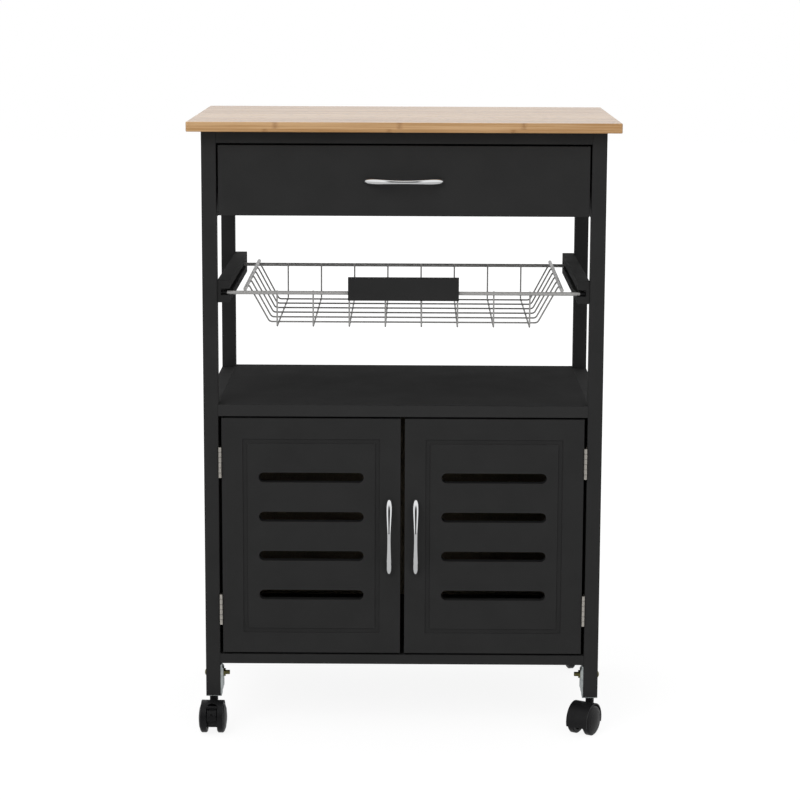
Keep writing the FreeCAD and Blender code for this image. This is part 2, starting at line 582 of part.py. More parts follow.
def make_drawer():
    """Drawer: a front, two grooved sides, a back and a sheet bottom held in grooves."""
    groove_height = "(drawer_bottom_thickness + 2*fit_clearance)"
    groove_low = f"({SHEET_LOW} - fit_clearance)"
    box_depth = f"({BOX_REAR} - {BOX_FRONT})"
    box_middle = f"(({BOX_REAR} + {BOX_FRONT})/2)"
    body = doc.addObject("PartDesign::Body", "drawer_front_body")
    face = new_sketch(body, "Face", "XZ_Plane")
    rectangle(face, f"{INNER_HALF} - drawer_side_gap", "drawer_front_height/2")
    panel = feature(body, "Pad", face, "drawer_front_thickness", "Front", backwards=True)
    round_edges(body, panel, in_front, "board_arris", "Arrises")
    slot = body.newObject("PartDesign::SubtractiveBox", "BottomGroove")
    bind(slot, "Length", f"2*({BOX_INNER} + housing_depth)")
    bind(slot, "Width", "housing_depth")
    bind(slot, "Height", groove_height)
    middle_z = f"({DRAWER_LOW} + drawer_front_height/2)"
    place(slot, f"-({BOX_INNER} + housing_depth)", "drawer_front_thickness - housing_depth",
          f"{groove_low} - {middle_z}")
    for end in (-1, 1):
        bore(body, "handle_screw/2 + fit_clearance", "drawer_front_thickness", f"{end}*handle_centres/2",
             "0", "0", BACK, "HandleScrewHole")
    place(body, "0", FRONT, middle_z)
    node(body, "drawer_front")
    sides = []
    runners = []
    for side_name, side in SIDES:
        wall = block("wall", "drawer_wall", box_depth, WALL_HEIGHT,
                     f"{side}*({BOX_HALF} - drawer_wall/2)", box_middle, WALL_LOW)
        reach = "(runner_engagement + running_clearance)"
        channel = block("channel", reach, f"2*{box_depth}", "runner_height + 2*running_clearance",
                        f"{side}*({BOX_HALF} - {reach}/2)", box_middle,
                        f"{WALL_LOW} + runner_lift - running_clearance")
        slit = block("slit", "housing_depth", f"2*{box_depth}", groove_height,
                     f"{side}*({BOX_INNER} + housing_depth/2)", box_middle, groove_low)
        sides.append(cut("drawer_side", wall, channel, slit))
        apron_face = "(frame_width/2 - apron_inset - apron_thickness)"
        tongue = f"({BOX_HALF} - runner_engagement)"
        runners.append(block("runner", f"{apron_face} - {tongue}",
                             "frame_depth - 2*leg_size - runner_front_gap", "runner_height",
                             f"{side}*({apron_face} + {tongue})/2", "runner_front_gap/2",
                             f"{WALL_LOW} + runner_lift"))
    node(group("sides", sides), "drawer_sides")
    node(group("runners", runners), "drawer_runners")
    back_low = f"({groove_low} + {groove_height})"
    back = block("drawer_back_board", f"2*{BOX_INNER}", "drawer_wall", f"{WALL_LOW} + {WALL_HEIGHT} - {back_low}",
                 "0", f"({BOX_REAR} - drawer_wall/2)", back_low)
    node(back, "drawer_back")
    sheet_front = f"({BOX_FRONT} - housing_depth + fit_clearance)"
    bottom = block("drawer_sheet", f"2*({BOX_INNER} + housing_depth - fit_clearance)",
                   f"{BOX_REAR} - {sheet_front}", "drawer_bottom_thickness", "0",
                   f"({BOX_REAR} + {sheet_front})/2", SHEET_LOW)
    node(bottom, "drawer_bottom")


def bow_handle():
    """Bow handle that lies along X and stands out along -Y from the origin.

    Ovals are lofted along an arch that starts behind the face, and what lies behind the face is
    trimmed off. The bow is widest near its feet, narrows to a slender grip in the middle, and has
    a screw hole in each foot.
    """
    half = size("handle_centres/2")
    rise = size("handle_projection - handle_grip_thickness/2")
    power = size("handle_slope")
    foot_width = size("handle_foot_width")
    grip_width = size("handle_grip_width")
    foot_length = size("handle_foot_length")
    grip_thickness = size("handle_grip_thickness")
    sections = []
    steps = 16
    for i in range(steps + 1):
        angle = math.pi * (i / steps - 0.5)
        at_foot = i in (0, steps)
        height = -foot_length / 4 if at_foot else rise * math.cos(angle) ** power
        centre = Vector(half * math.sin(angle), -height, 0)
        tangent = BACK * math.copysign(1.0, angle)
        if not at_foot:
            slope = power * rise * math.cos(angle) ** (power - 1) * math.sin(angle)
            tangent = Vector(half * math.cos(angle), slope, 0).normalize()
        lean = abs(math.sin(angle))
        across = grip_width + (foot_width - grip_width) * lean ** 2
        thick = grip_thickness + (foot_length - grip_thickness) * lean ** 8
        outward = UP.cross(tangent)
        long_way, short_way = (outward, UP) if thick > across else (UP, outward)
        oval = Part.Ellipse(Vector(), max(across, thick) / 2, min(across, thick) / 2).toShape()
        normal = long_way.cross(short_way)
        oval.Placement = Placement(FreeCAD.Matrix(long_way.x, short_way.x, normal.x, centre.x,
                                                  long_way.y, short_way.y, normal.y, centre.y,
                                                  long_way.z, short_way.z, normal.z, centre.z,
                                                  0, 0, 0, 1))
        sections.append(Part.Wire([oval]))
    bow = Part.makeLoft(sections, True, False)
    behind = Part.makeBox(4 * half, foot_length, 2 * foot_width, Vector(-2 * half, 0, -foot_width))
    bow = bow.cut(behind)
    hole = size("handle_screw/2 + fit_clearance")
    depth = size("handle_screw_depth + fit_clearance")
    for end in (-half, half):
        bow = bow.cut(Part.makeCylinder(hole, depth, Vector(end, 0, 0), BACK * -1))
    return bow


def make_handles():
    """Bow handles with their screws: one across the drawer front, one upright on each door."""
    across = Rotation()
    upright = Rotation(BACK, 90)
    door_x = "(door_centre_gap/2 + door_handle_inset)"
    door_z = f"({DOOR_LOW} + {DOOR_HEIGHT}/2)"
    spots = (("drawer", "0", f"({DRAWER_LOW} + drawer_front_height/2)", across, "drawer_front_thickness"),
             ("left_door", f"-{door_x}", door_z, upright, "door_thickness"),
             ("right_door", door_x, door_z, upright, "door_thickness"))
    for name, x, z, turn, thickness in spots:
        handle = fixed_shape(name + "_bow", bow_handle())
        handle.Placement = Placement(Vector(), turn)
        for axis, formula in zip("xyz", (x, FRONT, z)):
            bind(handle, "Placement.Base." + axis, formula)
        node(handle, name + "_handle")
        screws = []
        for end in (-1, 1):
            shift = f"{end}*handle_centres/2"
            screw_x, screw_z = (f"{x} + {shift}", z) if turn is across else (x, f"{z} + {shift}")
            shank = rod("shank", "handle_screw/2", f"{thickness} + handle_screw_depth", screw_x,
                        f"{FRONT} - handle_screw_depth", screw_z, BACK)
            head = rod("head", "handle_screw_head/2", "handle_screw_head_height", screw_x,
                       f"{FRONT} + {thickness}", screw_z, BACK)
            screws.append(fuse("handle_screw_body", shank, head))
        node(group("handle_screws", screws), name + "_handle_screws")


def make_basket_tracks():
    """Grooved tracks on the legs' inner faces, open in front and stopped at the back."""
    tracks = []
    for side_name, side in SIDES:
        length = "(frame_depth - track_setback)"
        bar = block("track_bar", "track_width", length, "track_height",
                    f"{side}*({TRACK_FACE} + track_width/2)", "track_setback/2", TRACK_LOW)
        channel = block("track_groove", "track_groove_depth", f"{length} - track_stop", "track_groove_height",
                        f"{side}*({TRACK_FACE} + track_groove_depth/2)", "(track_setback - track_stop)/2",
                        f"{TRACK_LOW} + track_groove_lift")
        tracks.append(cut("track", bar, channel))
    node(group("tracks", tracks), "basket_tracks")


def bent_wire(points, radius, bend):
    """Sweep a round wire along straight runs joined by tangent arcs."""
    edges = []
    start = points[0]
    for before, corner, after in zip(points, points[1:], points[2:]):
        back = (before - corner).normalize()
        ahead = (after - corner).normalize()
        half_turn = (math.pi - back.getAngle(ahead)) / 2
        reach = bend * math.tan(half_turn)
        enter = corner + back * reach
        leave = corner + ahead * reach
        middle = corner + (back + ahead).normalize() * (bend / math.cos(half_turn) - bend)
        edges.append(Part.LineSegment(start, enter).toShape())
        edges.append(Part.Arc(enter, middle, leave).toShape())
        start = leave
    edges.append(Part.LineSegment(start, points[-1]).toShape())
    path = Part.Wire(edges)
    section = Part.Wire([Part.Circle(points[0], points[1] - points[0], radius).toShape()])
    return path.makePipeShell([section], True, True)


def spread(count, half_span):
    """List evenly spaced places from one end of a span to the other."""
    return [half_span * (2 * i / (count - 1) - 1) for i in range(count)]


def make_basket():
    """Wire basket: rods that ride in the tracks, side rods on them, and two layers of wires.

    The basket tips forward in its tracks: its front rod rides low in the grooves, its back rod high.
    """
    rods = [rod("cross_rod", "rod_diameter/2", f"2*{ROD_HALF}", f"-{ROD_HALF}", y, z, RIGHT)
            for y, z in ((ROD_FRONT, ROD_Z), (ROD_REAR, f"{ROD_Z} + {BACK_ROD_RISE}"))]
    rise = size(BACK_ROD_RISE)
    run = size(f"{ROD_REAR} - {ROD_FRONT}")
    for side_name, side in SIDES:
        rods.append(rod("side_rod", "rod_diameter/2", f"{ROD_REAR} - {ROD_FRONT} + rod_diameter",
                        f"{side}*{SIDE_ROD_X}", f"{ROD_FRONT} - rod_diameter/2", SIDE_ROD_Z,
                        Vector(0, run, rise)))
    node(group("rods", rods), "basket_rim_rods")
    thickness = size("wire_diameter")
    top_z = size(SIDE_ROD_Z)
    floor_z = size(f"{SIDE_ROD_Z} - basket_drop")
    floor_half = size(f"{SIDE_ROD_X} - basket_flare")
    hang_x = size(f"{SIDE_ROD_X} - rod_diameter/2 - wire_diameter/2")
    middle_y = size(f"({ROD_FRONT} + {ROD_REAR})/2")
    long_wires = []
    for y in spread(int(size("long_wire_count")), run / 2 - size("long_wire_inset")):
        end_z = top_z + rise * (y / run + 0.5)
        points = [Vector(-hang_x, middle_y + y, end_z), Vector(-floor_half, middle_y + y, floor_z),
                  Vector(floor_half, middle_y + y, floor_z), Vector(hang_x, middle_y + y, end_z)]
        long_wires.append(bent_wire(points, thickness / 2, size("wire_bend")))
    node(fixed_shape("long_wires", Part.makeCompound(long_wires)), "basket_long_wires")
    under_z = floor_z - thickness
    rod_top = size(f"{ROD_Z} + rod_diameter/2")
    front_y = size(f"{ROD_FRONT} + rod_diameter/2 + wire_diameter/2")
    back_y = size(f"{ROD_REAR} - rod_diameter/2 - wire_diameter/2")
    cross_wires = []
    for x in spread(int(size("cross_wire_count")), floor_half - size("cross_wire_inset")):
        points = [Vector(x, front_y, rod_top), Vector(x, front_y, under_z),
                  Vector(x, back_y, under_z), Vector(x, back_y, rod_top + rise)]
        cross_wires.append(bent_wire(points, thickness / 2, size("cross_wire_bend")))
    node(fixed_shape("cross_wires", Part.makeCompound(cross_wires)), "basket_cross_wires")


def make_basket_grip():
    """Flat grip, flush with the legs, with a channel at its back for the basket's front rod."""
    body = doc.addObject("PartDesign::Body", "grip_body")
    sketch = new_sketch(body, "Face", "XZ_Plane")
    rectangle(sketch, "grip_length/2", "grip_height/2")
    panel = feature(body, "Pad", sketch, "grip_thickness", "Grip", backwards=True)
    round_edges(body, panel, in_front, "grip_arris", "Arrises")
    bore(body, "rod_diameter/2 + fit_clearance", "grip_length", "-grip_length/2", "basket_front",
         "-grip_lift", RIGHT, "RodChannel")
    place(body, "0", FRONT, f"{ROD_Z} + grip_lift")
    node(body, "basket_grip")


def draw_slot(sketch):
    """Draw the outline of the lowest vent slot: two straight sides and two round ends."""
    radius = "(slot_height/2)"
    reach = "((slot_length - slot_height)/2)"
    low = "(-slot_pitch*(slot_count - 1)/2)"
    corners = [(f"-{reach}", f"{low} - {radius}"), (reach, f"{low} - {radius}"),
               (reach, f"{low} + {radius}"), (f"-{reach}", f"{low} + {radius}")]
    spots = [Vector(size(x), size(y), 0) for x, y in corners]
    bulge = Vector(size(radius), 0, 0)
    right_end = (spots[1] + spots[2]) * 0.5 + bulge
    left_end = (spots[3] + spots[0]) * 0.5 - bulge
    sketch.addGeometry(Part.LineSegment(spots[0], spots[1]), False)
    sketch.addGeometry(Part.Arc(spots[1], right_end, spots[2]), False)
    sketch.addGeometry(Part.LineSegment(spots[2], spots[3]), False)
    sketch.addGeometry(Part.Arc(spots[3], left_end, spots[0]), False)
    for i in range(4):
        sketch.addConstraint(Sketcher.Constraint("Coincident", i, 2, (i + 1) % 4, 1))
    for line, first in ((0, 0), (2, 2)):
        hold(sketch, line, 1, *corners[first])
        hold(sketch, line, 2, *corners[first + 1])
    hold_at(sketch, "DistanceX", 1, 3, reach)
    hold_at(sketch, "DistanceX", 3, 3, f"-{reach}")


def make_door(side_name, side):
    """Door with a routed groove round its field and four vent slots with round ends."""
    half = f"{DOOR_WIDTH}/2"
    tall = f"{DOOR_HEIGHT}/2"
    body = doc.addObject("PartDesign::Body", "door_body")
    face = new_sketch(body, "Face", "XZ_Plane")
    rectangle(face, half, tall)
    panel = feature(body, "Pad", face, "door_thickness", "Panel", backwards=True)
    round_edges(body, panel, in_front, "board_arris", "Arrises")
    border = new_sketch(body, "GrooveBorder", "XZ_Plane")
    for margin in ("groove_margin", "(groove_margin + groove_width)"):
        rectangle(border, f"{half} - {margin}", f"{tall} - {margin}")
    groove = feature(body, "Pocket", border, "groove_depth", "Groove")
    groove_bottom = size("groove_depth")
    round_edges(body, groove, lambda edge: abs(edge.BoundBox.YMin - groove_bottom) < FLAT,
                "groove_cove", "GrooveCove")
    slot = new_sketch(body, "SlotOutline", "XZ_Plane")
    draw_slot(slot)
    lowest = feature(body, "Pocket", slot, "door_thickness", "Slot")
    pattern = body.newObject("PartDesign::LinearPattern", "Slots")
    pattern.Originals = [lowest]
    pattern.Direction = (slot, ["V_Axis"])
    bind(pattern, "Length", "slot_pitch*(slot_count - 1)")
    pattern.Occurrences = int(size("slot_count"))
    body.Tip = pattern
    doc.recompute()
    for end in (-1, 1):
        bore(body, "handle_screw/2 + fit_clearance", "door_thickness",
             f"{-side}*({half} - door_handle_inset)", "0", f"{end}*handle_centres/2", BACK,
             "HandleScrewHole")
    place(body, f"{side}*(door_centre_gap/2 + {half})", FRONT, f"{DOOR_LOW} + {tall}")
    node(body, side_name + "_door_panel")


def hinge_half(side, centre, on_door):
    """One leaf of a butt hinge: a plate, and every other knuckle rolled from its front edge."""
    toward = -side if on_door else side
    axis_x = f"{side}*{HINGE_X}"
    leaf_x = f"({axis_x} + {toward}*(door_side_gap - hinge_leaf)/2)"
    plate_front = f"({HINGE_Y} + hinge_knuckle/2 + 2*running_clearance)"
    plate_back = f"({FRONT} + hinge_leaf_width)"
    low = f"({centre} - hinge_length/2)"
    step = "(hinge_length/hinge_knuckle_count)"
    pieces = [block("plate", "hinge_leaf", f"{plate_back} - {plate_front}", "hinge_length",
                    leaf_x, f"({plate_back} + {plate_front})/2", low)]
    for i in range(1 if on_door else 0, int(size("hinge_knuckle_count")), 2):
        base = f"({low} + {i}*{step} + running_clearance/2)"
        length = f"{step} - running_clearance"
        pieces.append(rod("knuckle", "hinge_knuckle/2", length, axis_x, HINGE_Y, base))
        pieces.append(block("tongue", "hinge_leaf", f"{plate_front} - {HINGE_Y}", length,
                            leaf_x, f"({plate_front} + {HINGE_Y})/2", base))
    hole = rod("pin_hole", "hinge_pin/2 + fit_clearance", f"hinge_length + 2*{OVERSHOOT}",
               axis_x, HINGE_Y, f"{low} - {OVERSHOOT}")
    return cut("leaf", fuse("leaf_blank", *pieces), hole)


def make_hinges():
    """Four butt hinges: leaves on the legs, leaves on the doors, and their pins."""
    centres = (f"({DOOR_LOW} + hinge_end)", f"({DOOR_LOW} + {DOOR_HEIGHT} - hinge_end)")
    frame_leaves = []
    pins = []
    for side_name, side in SIDES:
        door_leaves = [hinge_half(side, centre, True) for centre in centres]
        node(group("door_leaves", door_leaves), side_name + "_door_hinge_leaves")
        for centre in centres:
            frame_leaves.append(hinge_half(side, centre, False))
            pins.append(rod("pin", "hinge_pin/2", "hinge_length", f"{side}*{HINGE_X}", HINGE_Y,
                            f"{centre} - hinge_length/2"))
    node(group("frame_leaves", frame_leaves), "hinge_frame_leaves")
    node(group("pins", pins), "hinge_pins")


def make_catches():
    """Magnetic catches under the shelf, and a strike plate on the back of each door."""
    catches = []
    front = f"({DOOR_BACK} + strike_thickness + running_clearance)"
    low = f"({SHELF_LOW} - catch_height)"
    for side_name, side in SIDES:
        middle = f"{side}*catch_offset"
        shell = block("catch_shell", "catch_length", "catch_depth", "catch_height", middle,
                      f"({front} + catch_depth/2)", low)
        window = block("catch_window", "catch_window_length", "catch_window_depth", "catch_window_height",
                       middle, f"({front} + catch_window_depth/2)",
                       f"{low} + (catch_height - catch_window_height)/2")
        catches.append(cut("catch", shell, window))
        strike = block("strike", "strike_length", "strike_thickness", "strike_height", middle,
                       f"({DOOR_BACK} + strike_thickness/2)",
                       f"{DOOR_LOW} + {DOOR_HEIGHT} - strike_height")
        node(strike, side_name + "_door_strike_plate")
    node(group("catches", catches), "door_catches")


def caster_bracket():
    """Bracket of a caster at a right-hand leg, seen from the middle of the leg's lower end.

    A plate lies on the leg's inner face, its front and back edges fold away from the leg and
    narrow towards both ends, and a tab at its foot lies under the leg.
    """
    thickness = size("bracket_thickness")
    width = size("bracket_width")
    leg = size("leg_size")
    flange = size("bracket_flange")
    top = size("floor_lift - bracket_gap")
    low = -thickness
    plate = Part.makeBox(thickness, width, top - low, Vector(-leg / 2 - thickness, -width / 2, low))
    pieces = [Part.makeBox(leg, width, thickness, Vector(-leg / 2, -width / 2, low))]
    corners = [(0, low), (flange, low + size("bracket_taper")), (flange, top - size("bracket_shoulder")),
               (0, top)]
    for y in (-width / 2, width / 2 - thickness):
        outline = [Vector(-leg / 2 - reach, y, z) for reach, z in corners]
        pieces.append(Part.Face(Part.makePolygon(outline + outline[:1])).extrude(BACK * thickness))
    bracket = plate.multiFuse(pieces).removeSplitter()
    bolt_hole = size("bolt_diameter/2 + fit_clearance")
    stem_hole = size("stem_diameter/2 + fit_clearance")
    bracket = bracket.cut(Part.makeCylinder(bolt_hole, leg, Vector(0, 0, size("bolt_lift")), RIGHT * -1))
    return bracket.cut(Part.makeCylinder(stem_hole, 2 * leg, Vector(0, 0, -leg)))


def make_caster_mounts():
    """Brackets, bolts, nuts and stems that hold the casters to the legs."""
    brackets = []
    fixings = []
    stems = []
    ball = "((bolt_head*bolt_head/4 + bolt_head_rise*bolt_head_rise)/(2*bolt_head_rise))"
    for side_name, side in SIDES:
        inward = RIGHT * -side
        for end_name, end in ENDS:
            x = f"{side}*{LEG_X}"
            y = f"{end}*{LEG_Y}"
            bracket = fixed_shape("bracket", caster_bracket())
            place(bracket, x, y, LEG_BOTTOM, "0" if side > 0 else "180")
            brackets.append(bracket)
            outer = f"{side}*frame_width/2"
            shank = rod("shank", "bolt_diameter/2", "leg_size + bolt_reach", outer, y, BOLT_Z, inward)
            dome = doc.addObject("Part::Sphere", "dome")
            bind(dome, "Radius", ball)
            place(dome, f"{outer} + {side}*(bolt_head_rise - {ball})", y, BOLT_Z)
            rim = rod("rim", "bolt_head/2", "bolt_head_rise", outer, y, BOLT_Z, RIGHT * side)
            head = doc.addObject("Part::Common", "head")
            head.Base = dome
            head.Tool = rim
            fixings.append(fuse("bolt", shank, head))
            seat = f"{side}*({INNER_HALF} - bracket_thickness)"
            nut = hexagon("nut_blank", "nut_flats", "nut_thickness", seat, y, BOLT_Z, inward)
            thread = rod("nut_bore", "bolt_diameter/2 + fit_clearance", "nut_thickness", seat, y, BOLT_Z, inward)
            fixings.append(cut("nut", nut, thread))
            stems.append(rod("stem", "stem_diameter/2", f"{STEM_TOP} - {STEM_BOTTOM}", x, y, STEM_BOTTOM))
    node(group("brackets", brackets), "caster_brackets")
    node(group("fixings", fixings), "caster_bolts_and_nuts")
    node(group("stems", stems), "caster_stems")


def polar(radius, degrees):
    """Place a point about the axle, at an angle above the level direction of the wheels' trail."""
    return Vector(radius * math.cos(math.radians(degrees)), 0, radius * math.sin(math.radians(degrees)))


def slab(points, width):
    """Extrude a flat outline to both sides of a caster's middle."""
    outline = [point + BACK * (-width / 2) for point in points]
    return Part.Face(Part.makePolygon(outline + outline[:1])).extrude(BACK * width)


def sector(start, end, radius, width):
    """Wedge about the axle that takes in all of a cylinder between two angles in degrees."""
    steps = int((end - start) / 30) + 1
    turn = (end - start) / steps
    reach = 1.1 * radius / math.cos(math.radians(turn / 2))
    return slab([Vector()] + [polar(reach, start + turn * i) for i in range(steps + 1)], width)


def ring(outer, inner, width):
    """Ring about the axle, which runs along Y through the origin."""
    start = BACK * (-width / 2)
    shell = Part.makeCylinder(outer, width, start, BACK)
    if inner > 0:
        shell = shell.cut(Part.makeCylinder(inner, width, start, BACK))
    return shell


def about_lever_pin(radius, width):
    """Cylinder about the brake lever's pin, measured from the axle."""
    cylinder = ring(radius, 0, width)
    cylinder.translate(polar(size("lever_pin_radius"), size("lever_pin_angle")))
    return cylinder


def lever_recess():
    """Room for the brake lever: an arch through the hood, a step in the web and a slot for the arm."""
    outer = size(HOOD_OUTER)
    lip = size("hood_lip")
    half_width = size("recess_width/2")
    web_width = size("2*(wheel_inner - web_gap)")
    crown = size("recess_end")
    spring = crown - math.degrees(math.asin(half_width / outer))
    through = ring(outer + OVERSHOOT, size(f"{HOOD_INNER} - hood_gap/2"), 2 * half_width)
    step = ring(outer + OVERSHOOT, size("recess_floor"), web_width + OVERSHOOT)
    upright = sector(-lip, spring, outer + OVERSHOOT, 2 * half_width)
    arch = Part.makeCylinder(half_width, 2 * outer, Vector(), polar(1, spring))
    room = through.fuse(step).common(upright.fuse(arch))
    arm_width = size("lever_arm + 2*running_clearance")
    swing = size("lever_pin_radius - lever_hub/2 - running_clearance")
    slot = ring(size("recess_floor") + OVERSHOOT, swing, arm_width)
    slot = slot.common(sector(-size("lever_start"), crown, outer, arm_width))
    return room.fuse(slot)


def caster_housing(braked):
    """Caster housing about its axle: a hood over both wheels, a web between them and a stem boss.

    The wheels trail towards +X. A braked housing has an arched recess on that side.
    """
    outer = size(HOOD_OUTER)
    inner = size(HOOD_INNER)
    hood_width = size(f"2*({WHEEL_SHOULDER} - hood_inset)")
    web_width = size("2*(wheel_inner - web_gap)")
    lip = math.degrees(math.asin(size(f"{AXLE_Z} - hood_lip") / outer))
    hood = ring(outer, inner, hood_width).common(sector(-lip, 180 + lip, outer, hood_width))
    hub = ring(size("web_radius"), 0, web_width)
    web = ring((outer + inner) / 2, 0, web_width)
    web = web.common(sector(size("web_start"), 180 + lip, outer, web_width))
    stem_end = Vector(-size("trail"), 0, size(f"{STEM_BOTTOM} - {AXLE_Z} - running_clearance"))
    boss_start = stem_end - UP * OVERSHOOT
    boss = Part.makeCylinder(size("boss_diameter/2"), size(f"{BOSS_TOP} - {AXLE_Z}") - boss_start.z, boss_start)
    top_edge = [edge for edge in boss.Edges if edge.BoundBox.ZMin > boss_start.z + OVERSHOOT]
    boss = boss.makeFillet(size("boss_rounding"), top_edge)
    housing = hood.multiFuse([hub, web, boss])
    housing = housing.cut(Part.makeCylinder(size("stem_diameter/2 + fit_clearance"), 2 * outer, stem_end))
    housing = housing.cut(ring(size("axle_diameter/2"), 0, web_width + OVERSHOOT))
    if braked:
        housing = housing.cut(lever_recess())
        housing = housing.cut(about_lever_pin(size("lever_pin/2"), web_width + OVERSHOOT))
    return housing.removeSplitter()


def brake_lever():
    """Brake lever about the caster's axle: an eye round its pin, an arm, a flap and a foot pad."""
    outer = size(f"{HOOD_OUTER} - lever_sink")
    inner = outer - size("lever_thickness")
    width = size("2*(wheel_inner - lever_gap)")
    arm_width = size("lever_arm")
    flap = ring(outer, inner, width).common(sector(size("lever_start"), size("lever_end"), outer, width))
    reach = size("pad_reach")
    pad_start = size("pad_start")
    pad_end = size("pad_end")
    pad = slab([polar(inner, pad_end), polar(outer + OVERSHOOT, pad_end),
                polar(reach, pad_start + size("pad_slope")), polar(reach - size("pad_tip"), pad_start),
                polar(inner, pad_start)], size("pad_width"))
    pin = polar(size("lever_pin_radius"), size("lever_pin_angle"))
    foot = polar((outer + inner) / 2, size("lever_arm_angle"))
    side = BACK.cross(foot - pin).normalize() * size("lever_arm_depth/2")
    arm = slab([pin + side, foot + side, foot - side, pin - side], arm_width)
    lever = flap.multiFuse([pad, about_lever_pin(size("lever_hub/2"), arm_width), arm])
    lever = lever.cut(about_lever_pin(size("lever_pin/2 + fit_clearance"), width))
    window = size("lever_window")
    hole = Part.makeBox(window, window, 2 * window, Vector(-window / 2, -window / 2, -window))
    angle = size("lever_window_angle")
    hole.Placement = Placement(polar((outer + inner) / 2, angle), Rotation(UP, polar(1, angle)))
    return lever.cut(hole).removeSplitter()


def caster_wheel():
    """Wheel about the Y axis on the +Y side: a tread, a dished inner side and a domed cap."""
    bore_radius = "(axle_diameter/2 + fit_clearance)"
    hub_radius = f"({bore_radius} + wheel_hub_wall)"
    cap_radius = f"({AXLE_Z} - wheel_cap_margin)"
    cap_edge = f"({WHEEL_SHOULDER} + wheel_cap_step)"
    blind_end = f"({WHEEL_SHOULDER} - wheel_end_wall)"
    dish = f"({WHEEL_SHOULDER} - wheel_web)"
    rim = f"({AXLE_Z} - wheel_rim)"
    bevel = f"({AXLE_Z} - wheel_rounding)"
    corners = [("0", blind_end), (bore_radius, blind_end), (bore_radius, "wheel_inner"),
               (hub_radius, "wheel_inner"), (hub_radius, dish), (rim, dish), (rim, "wheel_inner"),
               (bevel, "wheel_inner"), (AXLE_Z, "wheel_inner + wheel_rounding"),
               (AXLE_Z, f"{WHEEL_SHOULDER} - wheel_rounding"), (bevel, WHEEL_SHOULDER),
               (cap_radius, cap_edge)]
    crown = ("0", f"{cap_edge} + wheel_crown")
    body = doc.addObject("PartDesign::Body", "wheel_body")
    sketch = new_sketch(body, "Profile", "XY_Plane")
    spots = [Vector(size(x), size(y), 0) for x, y in corners + [crown]]
    last = len(corners) - 2
    for begin, finish in zip(spots[:-1], spots[1:-1]):
        sketch.addGeometry(Part.LineSegment(begin, finish), False)
    rise = size("wheel_crown")
    ball = (spots[-2].x ** 2 + rise ** 2) / (2 * rise)
    half_angle = math.asin(spots[-2].x / ball) / 2
    on_dome = Vector(ball * math.sin(half_angle), spots[-1].y - ball * (1 - math.cos(half_angle)), 0)
    dome = sketch.addGeometry(Part.Arc(spots[-2], on_dome, spots[-1]), False)
    closing = sketch.addGeometry(Part.LineSegment(spots[-1], spots[0]), False)
    for i in range(last):
        sketch.addConstraint(Sketcher.Constraint("Coincident", i, 2, i + 1, 1))
    for i in range(last + 1):
        hold(sketch, i, 1, *corners[i])
    hold(sketch, last, 2, *corners[-1])
    sketch.addConstraint(Sketcher.Constraint("Coincident", last, 2, dome, 1))
    sketch.addConstraint(Sketcher.Constraint("PointOnObject", dome, 3, -2))
    hold(sketch, dome, 2, *crown)
    sketch.addConstraint(Sketcher.Constraint("Coincident", dome, 2, closing, 1))
    sketch.addConstraint(Sketcher.Constraint("Coincident", closing, 2, 0, 1))
    turning = body.newObject("PartDesign::Revolution", "Turning")
    turning.Profile = sketch
    turning.ReferenceAxis = (sketch, ["V_Axis"])
    turning.Angle = 360
    return body


def make_casters():
    """Four twin-wheel casters. Two at opposite corners have a brake lever."""
    axle_length = size(f"2*({WHEEL_SHOULDER} - wheel_end_wall - axle_end_gap)")
    for side_name, side in SIDES:
        for end_name, end in ENDS:
            swivel = f"swivel_{end_name}_{side_name}"
            label = f"caster_{end_name}_{side_name}"
            braked = (side_name, end_name) in (("left", "front"), ("right", "back"))
            spot = (f"{side}*{LEG_X} + trail*cos({swivel})", f"{end}*{LEG_Y} + trail*sin({swivel})", AXLE_Z)
            housing = fixed_shape("housing", caster_housing(braked))
            place(housing, *spot, swivel)
            node(housing, label + "_housing")
            pins = [ring(size("axle_diameter/2"), 0, axle_length)]
            if braked:
                lever = fixed_shape("lever", brake_lever())
                place(lever, *spot, swivel)
                node(lever, label + "_brake_lever")
                pins.append(about_lever_pin(size("lever_pin/2"), size("2*(wheel_inner - web_gap)")))
            axle = fixed_shape("axle", Part.makeCompound(pins))
            place(axle, *spot, swivel)
            node(axle, label + ("_axle_and_lever_pin" if braked else "_axle"))
            names = ("right", "left") if size(f"sin({swivel})") < 0 else ("left", "right")
            for wheel_name, turn in zip(names, (0, 180)):
                wheel = caster_wheel()
                place(wheel, *spot, f"{swivel} + {turn}")
                node(wheel, f"{label}_wheel_{wheel_name}")


make_worktop()
for side_name, side in SIDES:
    for end_name, end in ENDS:
        make_leg(side_name, side, end_name, end)
make_cross_boards()
make_side_boards()
make_frame_screws()
make_drawer()
make_handles()
make_basket_tracks()
make_basket()
make_basket_grip()
for side_name, side in SIDES:
    make_door(side_name, side)
make_hinges()
make_catches()
make_caster_mounts()
make_casters()
doc.recompute()

for thing in doc.Objects:
    if "Invalid" in thing.State or "Error" in thing.State:
        raise RuntimeError("%s (%s) is %s" % (thing.Name, thing.Label, thing.State))
for thing in NODES:
    if thing.Shape.isNull() or not thing.Shape.isValid() or not thing.Shape.Solids:
        raise RuntimeError("%s has no valid solid" % thing.Label)

os.makedirs("parts", exist_ok=True)
for thing in NODES:
    thing.Shape.exportStep("parts/%s.step" % thing.Label)
print("%d nodes, %d solids" % (len(NODES), sum(len(thing.Shape.Solids) for thing in NODES)))
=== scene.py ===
"""Kitchen cart: bamboo worktop, black painted frame, drawer, wire basket, slotted doors, casters."""

import logging
import math
from collections.abc import Iterable, Sequence
from dataclasses import dataclass
from enum import Enum

import bmesh
import bpy
from mathutils import Matrix, Vector

